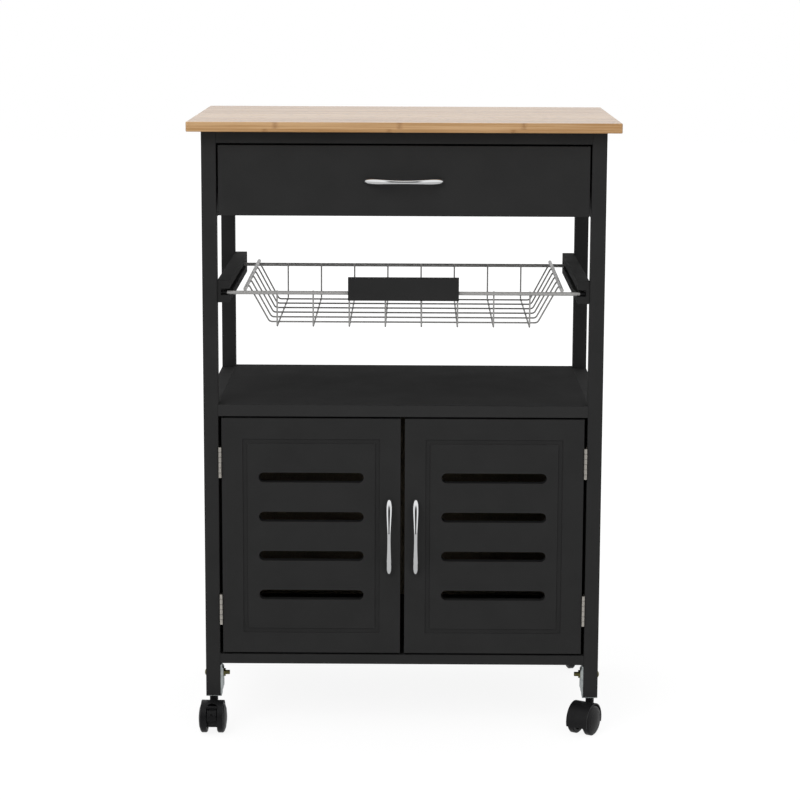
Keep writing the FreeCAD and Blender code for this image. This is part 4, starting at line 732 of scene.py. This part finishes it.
@dataclass
class Assembly:
    """Sub-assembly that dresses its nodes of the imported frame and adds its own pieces.

    Where a piece that it adds sits on a node, its place is measured from that node.
    """

    nodes: dict[str, bpy.types.Object]

    def box(self, name: str) -> tuple[Vector, Vector]:
        """Measure the box round a node.

        Args:
            name: the node.

        Returns:
            Its lowest and its highest corner, in millimetres.
        """
        low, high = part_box(name)
        return low / MM, high / MM

    def middle(self, name: str) -> Vector:
        """Middle of the box round a node, in millimetres."""
        low, high = self.box(name)
        return (low + high) / 2

    def leg(self, end: End, side: Side) -> Vector:
        """Middle of a leg, in millimetres."""
        return self.middle(f"leg_{end.word}_{side.word}")

    def dress(self, names: Iterable[str], finish: Finish, arris_mm: float = 0.0) -> None:
        """Give nodes their finish and, where asked, softly broken edges.

        Args:
            names: nodes that are dressed.
            finish: their finish.
            arris_mm: width of the broken edges, for nodes with flat faces only.
        """
        for name in names:
            node = self.nodes[name]
            if not node.material_slots:
                node.data.materials.append(None)
            for holder in node.material_slots:
                holder.material = finish.material()
            if arris_mm > 0:
                weld = node.modifiers.new("weld", "WELD")
                weld.merge_threshold = SAME_POINT
                arris = node.modifiers.new("arris", "BEVEL")
                arris.width = arris_mm * MM
                arris.segments = 2
                arris.limit_method = "ANGLE"
                arris.angle_limit = BROKEN_EDGE
                arris.harden_normals = True
            LOG.info("%s in %s", name, finish.name)

    def add_handle_heads(self, heads: Shell, name: str) -> None:
        """Draw the heads of the two screws that hold a bow handle from behind.

        Args:
            heads: mesh that gets the heads.
            name: node of the two screws.
        """
        low, high = self.box(name)
        inset = Vector((HANDLE_HEAD.radius, 0.0, HANDLE_HEAD.radius))
        for spot in (low + inset, high - inset):
            spot.y = high.y
            heads.cross_head(HANDLE_HEAD, facing((0, 1, 0), spot))

    def build(self) -> None:
        """Dress the nodes and build the pieces."""
        raise NotImplementedError


def facing(direction: Sequence[float], spot: Sequence[float]) -> Matrix:
    """Stand the local Z axis in a direction at a spot.

    Args:
        direction: where local Z points.
        spot: origin of the local axes, in millimetres.

    Returns:
        The placement.
    """
    return Matrix.Translation(spot) @ Vector(direction).to_track_quat("Z", "Y").to_matrix().to_4x4()


@dataclass
class Worktop(Assembly):
    """Bamboo worktop."""

    def build(self) -> None:
        """Dress the worktop."""
        self.dress(["worktop"], BAMBOO)


@dataclass
class Frame(Assembly):
    """Legs, rails, boards, panels and their screws."""

    def build(self) -> None:
        """Dress every piece of the frame along its own grain."""
        legs = [f"leg_{end.word}_{side.word}" for end in End for side in Side]
        self.dress(legs, PAINT_UPRIGHT)
        self.dress(["front_top_rail", "back_board"], PAINT_CROSSWISE)
        self.dress(["shelf_board"], PAINT_MATT)
        self.dress(["cabinet_floor"], PAINT_FLAT)
        self.dress(["side_aprons", "cabinet_side_rails", "basket_tracks"], PAINT_LENGTHWISE, 0.6)
        self.dress(["cabinet_back"], BACK_BOARD)
        self.dress(["cabinet_side_panels"], THIN_BOARD)
        self.dress(["drawer_runners"], PAINT_LENGTHWISE, 0.4)
        self.dress(["frame_screws"], WHITE_ZINC)


@dataclass
class Drawer(Assembly):
    """Drawer with its bow handle."""

    def build(self) -> None:
        """Dress the drawer and give its handle screws their cross heads."""
        self.dress(["drawer_front"], PAINT_FLAT)
        self.dress(["drawer_sides", "drawer_back"], PAINT_FLAT, 0.5)
        self.dress(["drawer_bottom"], THIN_BOARD)
        self.dress(["drawer_handle"], CHROME)
        self.dress(["drawer_handle_screws"], WHITE_ZINC)
        heads = Shell()
        self.add_handle_heads(heads, "drawer_handle_screws")
        heads.become("drawer_handle_screw_heads", WHITE_ZINC, "drawer", "zinc")


@dataclass
class Basket(Assembly):
    """Welded wire basket with its flat grip."""

    long_count: int = 6
    cross_count: int = 8
    wire_radius_mm: float = 1.1
    rod_radius_mm: float = 2.5
    rod_half_gap_mm: float = 150.0
    back_rise_mm: float = 3.0
    side_rod_x_mm: float = 214.5
    side_rod_over_mm: float = 5.0
    hang_x_mm: float = 211.7
    rod_join_mm: float = 2.9
    floor_bead_mm: Point = (1.35, 1.35, 1.0)
    hang_bead_mm: Point = (1.2, 1.8, 1.5)
    rod_bead_mm: Point = (1.6, 1.1, 1.5)
    corner_bead_mm: Point = (1.9, 1.9, 1.2)
    cap_radius_mm: float = 2.7
    cap_overlap_mm: float = 3.0
    cap_length_mm: float = 7.6
    cap_taper_mm: float = 0.6
    cap_rounding_mm: float = 0.5

    def wire_axes(self, count: int, low: float, high: float) -> list[float]:
        """List the axes of evenly spaced parallel wires.

        Args:
            count: number of wires.
            low: where the box round all of them begins.
            high: where it ends.

        Returns:
            The place of each axis.
        """
        pitch = (high - low - 2 * self.wire_radius_mm) / (count - 1)
        return [low + self.wire_radius_mm + pitch * i for i in range(count)]

    def rod_y(self, end: End) -> float:
        """Depth at which the front or the back rod runs."""
        return self.middle("basket_long_wires").y + end.value * self.rod_half_gap_mm

    def rod_z(self, y: float) -> float:
        """Height of a rod's axis at a depth, on the rim that tips forward."""
        front = self.box("basket_rim_rods")[0].z + self.rod_radius_mm
        return front + self.back_rise_mm * (y - self.rod_y(End.FRONT)) / (2 * self.rod_half_gap_mm)

    def build(self) -> None:
        """Dress the basket, weld its wires and cap the rods that slide."""
        self.dress(["basket_rim_rods"], BRIGHT_ROD)
        self.dress(["basket_long_wires"], GREY_WIRE)
        self.dress(["basket_cross_wires"], BRIGHT_WIRE)
        self.dress(["basket_grip"], PAINT_CROSSWISE)
        self.build_welds()
        self.build_end_caps()

    def build_welds(self) -> None:
        """Put a weld at every crossing of wires and rods."""
        welds = Shell()
        low, high = self.box("basket_long_wires")
        weld_z = low.z
        long_places = self.wire_axes(self.long_count, low.y, high.y)
        low, high = self.box("basket_cross_wires")
        cross_places = self.wire_axes(self.cross_count, low.x, high.x)
        for y in long_places:
            for x in cross_places:
                welds.bead((x, y, weld_z), self.floor_bead_mm)
            for side in Side:
                hang = (side.value * self.hang_x_mm, y, self.rod_z(y) + self.side_rod_over_mm)
                welds.bead(hang, self.hang_bead_mm)
        for end in End:
            rod_y = self.rod_y(end)
            rod_z = self.rod_z(rod_y)
            for x in cross_places:
                welds.bead((x, rod_y - end.value * self.rod_join_mm, rod_z), self.rod_bead_mm)
            for side in Side:
                corner = (side.value * self.side_rod_x_mm, rod_y, rod_z + self.side_rod_over_mm / 2)
                welds.bead(corner, self.corner_bead_mm)
        welds.become("basket_weld_beads", BRIGHT_WIRE, "basket", "nickel_wire")

    def build_end_caps(self) -> None:
        """Push a nylon cap on each end of the two rods that slide in the tracks."""
        caps = Shell()
        radius, length, taper = self.cap_radius_mm, self.cap_length_mm, self.cap_taper_mm
        profile = [(self.rod_radius_mm, 0.0), (radius, taper / 2), (radius, length - taper),
                   (radius - self.cap_rounding_mm, length), (0.0, length)]
        rod_end = self.box("basket_rim_rods")[1].x
        for end in End:
            rod_y = self.rod_y(end)
            for side in Side:
                spot = (side.value * (rod_end - self.cap_overlap_mm), rod_y, self.rod_z(rod_y))
                caps.lathe(profile, facing((side.value, 0, 0), spot), 24)
        caps.become("basket_rod_end_caps", HOOD_NYLON, "basket", "black_plastic")


@dataclass
class Doors(Assembly):
    """Two slotted doors with handles, butt hinges, strike plates and magnetic catches.

    A hinge leaf's face is leaf_face_mm from the pin's axis, and its screws are leaf_screw_inset_mm
    from its edge.
    """

    leaf_half_mm: float = 21.5
    leaf_screw_pitch_mm: float = 14.0
    leaf_screw_inset_mm: float = 5.9
    leaf_face_mm: float = 0.9
    pin_radius_mm: float = 1.1
    plate_screw_half_mm: float = 10.0
    magnet_half_mm: float = 11.6
    magnet_reach_mm: float = 1.9
    magnet_thickness_mm: float = 1.4
    magnet_recess_mm: float = 0.3
    pole_thickness_mm: float = 0.9
    pole_recess_mm: float = 0.1
    pole_shift_mm: float = 1.3
    arris_mm: float = 0.12

    def build(self) -> None:
        """Dress the doors and add screws, pole plates and magnets."""
        self.dress(["hinge_frame_leaves"], BRUSHED)
        self.dress(["hinge_pins"], GROUND_STEEL)
        self.dress(["door_catches"], HOOD_NYLON, 0.5)
        for side in Side:
            self.build_door(side)
        for side in Side:
            leaf_screws = self.hinge_heads(side, -side.value)
            leaf_screws.become(f"{side.word}_leg_hinge_screws", BRUSHED, "cart_frame", "brushed_nickel")
        self.build_magnets()

    def hinge_heads(self, side: Side, outward: int) -> Shell:
        """Draw the screw heads in the hinge leaves of one side.

        Args:
            side: side of the cart.
            outward: sign of the direction that the heads face; the door's leaves face the leg.

        Returns:
            The mesh with all heads.
        """
        heads = Shell()
        low, high = self.box("hinge_frame_leaves")
        pin_x = side.value * (self.box("hinge_pins")[1].x - self.pin_radius_mm)
        for middle in (low.z + self.leaf_half_mm, high.z - self.leaf_half_mm):
            for step in (-1, 0, 1):
                spot = (pin_x - outward * self.leaf_face_mm, high.y - self.leaf_screw_inset_mm,
                        middle + step * self.leaf_screw_pitch_mm)
                heads.cross_head(LEAF_HEAD, facing((outward, 0, 0), spot))
        return heads

    def build_door(self, side: Side) -> None:
        """Dress one door and add the screws that ride on it."""
        door = f"{side.word}_door"
        self.dress([f"{door}_panel"], PAINT_FLAT)
        self.dress([f"{door}_handle"], CHROME)
        self.dress([f"{door}_handle_screws", f"{door}_strike_plate"], WHITE_ZINC)
        self.dress([f"{door}_hinge_leaves"], BRUSHED)
        leaf_screws = self.hinge_heads(side, side.value)
        leaf_screws.become(f"{door}_hinge_screws", BRUSHED, door, "brushed_nickel")
        heads = Shell()
        self.add_handle_heads(heads, f"{door}_handle_screws")
        for step in (-1, 1):
            spot = self.middle(f"{door}_strike_plate")
            spot.x += step * self.plate_screw_half_mm
            spot.y = self.box(f"{door}_strike_plate")[1].y
            heads.cross_head(PLATE_HEAD, facing((0, 1, 0), spot))
        heads.become(f"{door}_screw_heads", WHITE_ZINC, door, "zinc")

    def build_magnets(self) -> None:
        """Put a magnet between two pole plates into the window of each catch."""
        magnets = Shell()
        poles = Shell()
        layers = ((magnets, 0.0, self.magnet_thickness_mm, self.magnet_recess_mm),
                  (poles, -self.pole_shift_mm, self.pole_thickness_mm, self.pole_recess_mm),
                  (poles, self.pole_shift_mm, self.pole_thickness_mm, self.pole_recess_mm))
        low, high = self.box("door_catches")
        half = self.magnet_half_mm
        for side in Side:
            plate_x = self.middle(f"{side.word}_door_strike_plate").x
            for shell, shift, thick, recess in layers:
                depth = self.magnet_reach_mm - recess
                outline = [(-half, 0.0), (half, 0.0), (half, depth), (-half, depth)]
                spot = (plate_x, low.y + recess, (low.z + high.z - thick) / 2 + shift)
                shell.slab(outline, thick, Matrix.Translation(spot), self.arris_mm)
        magnets.become("catch_magnets", MAGNET, "cart_frame", "black_plastic")
        poles.become("catch_pole_plates", WHITE_ZINC, "cart_frame", "zinc")


@dataclass
class Caster(Assembly):
    """One twin-wheel caster under a leg, with its heading turned from the X axis."""

    side: Side
    end: End
    heading_deg: float
    braked: bool
    trail_mm: float = 17.5
    cap_edge_mm: float = 16.7
    cap_radius_mm: float = 18.5
    cap_rise_mm: float = 2.9
    ring_mm: float = 14.6
    ring_half_mm: float = 0.75
    ring_root_mm: float = -0.3
    ring_height_mm: float = 0.26
    ring_shoulder_mm: tuple[float, float] = (0.2, 0.1)
    ring_flat_half_mm: float = 0.2
    pad_reach_mm: float = 28.6
    pad_start_deg: float = 47.0
    ridge_count: int = 3
    ridge_inset_mm: float = 1.4
    ridge_pitch_mm: float = 1.5
    ridge_lift_mm: float = 0.55
    ridge_slope: float = 1 / 3
    ridge_half_mm: tuple[float, float] = (0.35, 5.6)
    ridge_height_mm: float = 0.55
    ridge_arris_mm: float = 0.15

    @property
    def label(self) -> str:
        """Name that all nodes of the caster start with."""
        return f"caster_{self.end.word}_{self.side.word}"

    def axle_frame(self) -> Matrix:
        """Place the caster's own axes: X where the wheels trail, Y along the axle.

        Returns:
            The placement, in millimetres.
        """
        turn = math.radians(self.heading_deg)
        spot = self.leg(self.end, self.side) + self.trail_mm * Vector((math.cos(turn), math.sin(turn), 0.0))
        spot.z = self.middle(f"{self.label}_wheel_left").z
        return Matrix.Translation(spot) @ Matrix.Rotation(turn, 4, "Z")

    def build(self) -> None:
        """Dress the caster and mould its details."""
        self.dress([f"{self.label}_housing"], HOOD_NYLON)
        pins = "axle_and_lever_pin" if self.braked else "axle"
        self.dress([f"{self.label}_{pins}"], GROUND_STEEL)
        names = ("right", "left") if math.sin(math.radians(self.heading_deg)) < 0 else ("left", "right")
        for name, way in zip(names, (1, -1)):
            self.dress([f"{self.label}_wheel_{name}"], WHEEL_NYLON)
            self.build_cap_ring(name, way)
        if self.braked:
            self.dress([f"{self.label}_brake_lever"], HOOD_NYLON)
            self.build_ridges()

    def dome(self, radius: float) -> float:
        """Height of the wheel cap's dome over its edge at a radius."""
        ball = (self.cap_radius_mm ** 2 + self.cap_rise_mm ** 2) / (2 * self.cap_rise_mm)
        return math.sqrt(ball ** 2 - radius ** 2) - (ball - self.cap_rise_mm)

    def build_cap_ring(self, name: str, way: int) -> None:
        """Mould a low ring on the outer cap of a wheel.

        Args:
            name: side of the caster that the wheel is on.
            way: sign of the direction from the caster's middle to that wheel.
        """
        half, crest = self.ring_half_mm, self.ring_height_mm
        inset, drop = self.ring_shoulder_mm
        section = [(half, self.ring_root_mm), (half - inset, crest - drop), (self.ring_flat_half_mm, crest)]
        profile = []
        for shift, lift in [(-shift, lift) for shift, lift in section] + section[::-1]:
            radius = self.ring_mm + shift
            profile.append((radius, self.cap_edge_mm + self.dome(radius) + lift))
        profile.append(profile[0])
        ring = Shell()
        ring.lathe(profile, self.axle_frame() @ facing((0, way, 0), (0, 0, 0)), 72)
        bmesh.ops.remove_doubles(ring.mesh, verts=ring.mesh.verts, dist=SAME_POINT / MM)
        body = f"{self.label}_{name}_wheel"
        ring.become(f"{self.label}_{name}_cap_ring", WHEEL_NYLON, body, "black_plastic")

    def build_ridges(self) -> None:
        """Mould grip ridges across the upper face of the brake lever's pad."""
        ridges = Shell()
        middle = math.radians(self.pad_start_deg)
        outward = Vector((math.cos(middle), 0, math.sin(middle)))
        up = Vector((-outward.z, 0, outward.x))
        axes = Matrix((outward, (0, 1, 0), up)).transposed().to_4x4()
        x, y = self.ridge_half_mm
        for i in range(self.ridge_count):
            back = self.ridge_pitch_mm * i
            spot = (outward * (self.pad_reach_mm - self.ridge_inset_mm - back)
                    + up * (self.ridge_lift_mm + self.ridge_slope * back))
            place = self.axle_frame() @ Matrix.Translation(spot) @ axes
            ridges.slab([(-x, -y), (x, -y), (x, y), (-x, y)], self.ridge_height_mm, place,
                        self.ridge_arris_mm)
        ridges.become(f"{self.label}_lever_ridges", HOOD_NYLON, f"{self.label}_lever", "black_plastic")


@dataclass
class CasterMounts(Assembly):
    """Brackets, bolts, nuts and stems that hold the casters.

    The face of a nut is nut_face_mm from the middle of its leg.
    """

    nut_face_mm: float = 16.5
    thread_root_mm: float = 2.9
    thread_crest_mm: float = 3.2
    thread_pitch_mm: float = 1.0
    thread_length_mm: float = 5.4

    def build(self) -> None:
        """Dress the mounts and thread the ends of the bolts."""
        self.dress(["caster_brackets"], WHITE_ZINC, 0.25)
        self.dress(["caster_bolts_and_nuts"], YELLOW_ZINC)
        self.dress(["caster_stems"], GROUND_STEEL)
        threads = Shell()
        for side in Side:
            for end in End:
                spot = self.leg(end, side) - Vector((side.value * self.nut_face_mm, 0.0, 0.0))
                spot.z = self.middle("caster_bolts_and_nuts").z
                threads.thread(self.thread_root_mm, self.thread_crest_mm, self.thread_pitch_mm,
                               self.thread_length_mm, facing((-side.value, 0, 0), spot))
        threads.become("caster_bolt_threads", YELLOW_ZINC, "cart_frame", "zinc")


@dataclass
class Studio:
    """Pale floor, white surroundings, soft lamps and the camera, in metres, watts and radians.

    The surroundings look white, but what mirrors them also finds a dark room behind the camera, as
    in a real studio. It gives the chrome its dark streaks. Its ranges are of the Y, the X to either
    side and the Z of a ray's unit direction: whole up to the first value, gone past the second.
    """

    floor_radius: float = 12.0
    paper: str = "#F4F4F4"
    white: str = "#FFFFFF"
    floor_glow: float = 1.12
    mirrored_floor: float = 0.6
    shadow_reach: tuple[float, float] = (0.3, 1.6)
    shadow_share: float = 0.2
    surroundings: float = 0.47
    dark_room: float = 0.02
    room_ahead: tuple[float, float] = (-0.75, -0.3)
    room_aside: tuple[float, float] = (0.35, 0.6)
    room_height: tuple[float, float] = (0.62, 0.8)
    lamps: tuple[tuple[str, Point, float, float], ...] = (
        ("key_softbox", (-1.7, -3.3, 3.1), 2.4, 64.0),
        ("fill_softbox", (1.6, -3.5, 1.3), 2.2, 27.0),
        ("top_softbox", (0.0, 0.6, 3.7), 2.2, 21.0),
    )
    camera_spot: Point = (0.0156, -3.451, 1.0412)
    focal_px: float = 2443.0
    picture_px: float = 800.0
    sensor_mm: float = 36.0
    pitch: float = 0.173
    yaw: float = 0.006
    roll: float = 0.004
    clip_range: tuple[float, float] = (0.05, 60.0)
    target: Point = (0.0, 0.0, 0.42)

    def build(self) -> None:
        """Set up floor, world, lamps and camera."""
        bpy.context.scene.view_settings.view_transform = "Standard"
        self.build_floor()
        self.build_world()
        for name, spot, width, power in self.lamps:
            self.build_lamp(name, spot, width, power)
        self.build_camera()

    def background_rays(self, tree: bpy.types.NodeTree) -> bpy.types.Node:
        """Tell camera, glossy and transmission rays from those that light the object.

        Args:
            tree: node tree of the floor or the world.

        Returns:
            The node whose value is 1 for the first and 0 for the others.
        """
        path = add_node(tree, "ShaderNodeLightPath")
        sharp = add_node(tree, "ShaderNodeMath", {"operation": "MAXIMUM"},
                         {0: path.outputs["Is Camera Ray"], 1: path.outputs["Is Glossy Ray"]})
        return add_node(tree, "ShaderNodeMath", {"operation": "MAXIMUM"},
                        {0: sharp, 1: path.outputs["Is Transmission Ray"]})

    def build_floor(self) -> None:
        """Lay a round floor that looks white, keeps the cart's shadow and has a clear lower side."""
        mesh = bmesh.new()
        bmesh.ops.create_circle(mesh, cap_ends=True, segments=96, radius=self.floor_radius)
        data = bpy.data.meshes.new("studio_floor")
        mesh.to_mesh(data)
        mesh.free()
        floor = bpy.data.objects.new("studio_floor", data)
        bpy.context.scene.collection.objects.link(floor)
        paper = bpy.data.materials.new("white_paper_floor")
        paper.use_nodes = True
        tree = paper.node_tree
        tree.nodes.clear()
        lit = add_node(tree, "ShaderNodeBsdfDiffuse", {}, {"Color": linear(self.paper)})
        path = add_node(tree, "ShaderNodeLightPath")
        strength = add_node(tree, "ShaderNodeMapRange", {}, {
            "Value": path.outputs["Is Glossy Ray"],
            "To Min": self.floor_glow, "To Max": self.mirrored_floor})
        glow = add_node(tree, "ShaderNodeEmission", {}, {"Color": linear(self.white), "Strength": strength})
        rays = self.background_rays(tree)
        place = add_node(tree, "ShaderNodeTexCoord")
        away = add_node(tree, "ShaderNodeVectorMath", {"operation": "LENGTH"}, {0: place.outputs["Object"]})
        near, far = self.shadow_reach
        glowing = add_node(tree, "ShaderNodeMapRange", {"interpolation_type": "SMOOTHSTEP"}, {
            "Value": away.outputs["Value"], "From Min": near, "From Max": far,
            "To Min": 1 - self.shadow_share, "To Max": 1.0})
        share = add_node(tree, "ShaderNodeMath", {"operation": "MULTIPLY"}, {0: rays, 1: glowing})
        mixed = add_node(tree, "ShaderNodeMixShader", {}, {0: share, 1: lit, 2: glow})
        faces = add_node(tree, "ShaderNodeNewGeometry")
        clear = add_node(tree, "ShaderNodeBsdfTransparent")
        one_sided = add_node(tree, "ShaderNodeMixShader", {},
                             {0: faces.outputs["Backfacing"], 1: mixed, 2: clear})
        add_node(tree, "ShaderNodeOutputMaterial", {}, {"Surface": one_sided})
        data.materials.append(paper)

    def build_world(self) -> None:
        """Surround the cart with white that lights it softly."""
        world = bpy.data.worlds.new("white_studio")
        bpy.context.scene.world = world
        world.use_nodes = True
        tree = world.node_tree
        tree.nodes.clear()
        light = add_node(tree, "ShaderNodeBackground", {},
                         {"Color": linear(self.white), "Strength": self.surroundings})
        place = add_node(tree, "ShaderNodeTexCoord")
        parts = add_node(tree, "ShaderNodeSeparateXYZ", {}, {0: place.outputs["Generated"]})
        aside = add_node(tree, "ShaderNodeMath", {"operation": "ABSOLUTE"}, {0: parts.outputs["X"]})
        gap = 1.0
        for way, (inner, outer) in ((parts.outputs["Y"], self.room_ahead), (aside, self.room_aside),
                                    (parts.outputs["Z"], self.room_height)):
            inside = add_node(tree, "ShaderNodeMapRange", {"interpolation_type": "SMOOTHSTEP"}, {
                "Value": way, "From Min": inner, "From Max": outer, "To Min": 1.0, "To Max": 0.0})
            gap = add_node(tree, "ShaderNodeMath", {"operation": "MULTIPLY"}, {0: gap, 1: inside})
        room = add_node(tree, "ShaderNodeMapRange", {},
                        {"Value": gap, "To Min": 1.0, "To Max": self.dark_room})
        path = add_node(tree, "ShaderNodeLightPath")
        mirrored = add_node(tree, "ShaderNodeMix", {"data_type": "FLOAT"},
                            {0: path.outputs["Is Glossy Ray"], 2: 1.0, 3: room})
        white = add_node(tree, "ShaderNodeBackground", {},
                         {"Color": linear(self.white), "Strength": mirrored})
        rays = self.background_rays(tree)
        mixed = add_node(tree, "ShaderNodeMixShader", {}, {0: rays, 1: light, 2: white})
        add_node(tree, "ShaderNodeOutputWorld", {}, {"Surface": mixed})

    def build_lamp(self, name: str, spot: Point, width: float, power: float) -> None:
        """Hang a square softbox that faces the cart.

        Args:
            name: name of the lamp.
            spot: its place in metres.
            width: side of the square in metres.
            power: power in watts.
        """
        data = bpy.data.lights.new(name, "AREA")
        data.shape = "SQUARE"
        data.size = width
        data.energy = power
        lamp = bpy.data.objects.new(name, data)
        lamp.visible_glossy = False
        lamp.location = spot
        lamp.rotation_euler = (Vector(self.target) - Vector(spot)).to_track_quat("-Z", "Y").to_euler()
        bpy.context.scene.collection.objects.link(lamp)

    def build_camera(self) -> None:
        """Stand the camera where the photograph was taken from."""
        data = bpy.data.cameras.new("studio_camera")
        data.sensor_width = self.sensor_mm
        data.lens = self.focal_px / self.picture_px * self.sensor_mm
        data.clip_start, data.clip_end = self.clip_range
        camera = bpy.data.objects.new("studio_camera", data)
        turn = (Matrix.Rotation(self.yaw, 4, "Z") @ Matrix.Rotation(math.pi / 2 - self.pitch, 4, "X")
                @ Matrix.Rotation(self.roll, 4, "Z"))
        camera.matrix_world = Matrix.Translation(self.camera_spot) @ turn
        bpy.context.scene.collection.objects.link(camera)
        bpy.context.scene.camera = camera


def main() -> None:
    """Load the frame, dress and build every sub-assembly, and set up the studio."""
    logging.basicConfig(level=logging.INFO, format="%(name)s: %(message)s")
    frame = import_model()
    nodes = frame["nodes"]
    assemblies = [Worktop(nodes), Frame(nodes), Drawer(nodes), Basket(nodes), Doors(nodes),
                  CasterMounts(nodes),
                  Caster(nodes, Side.LEFT, End.FRONT, -91.0, True),
                  Caster(nodes, Side.RIGHT, End.FRONT, -120.0, False),
                  Caster(nodes, Side.LEFT, End.BACK, 80.0, False),
                  Caster(nodes, Side.RIGHT, End.BACK, -79.0, True)]
    for assembly in assemblies:
        assembly.build()
        LOG.info("%s is built", type(assembly).__name__)
    Studio().build()


if __name__ == "__main__":
    main()
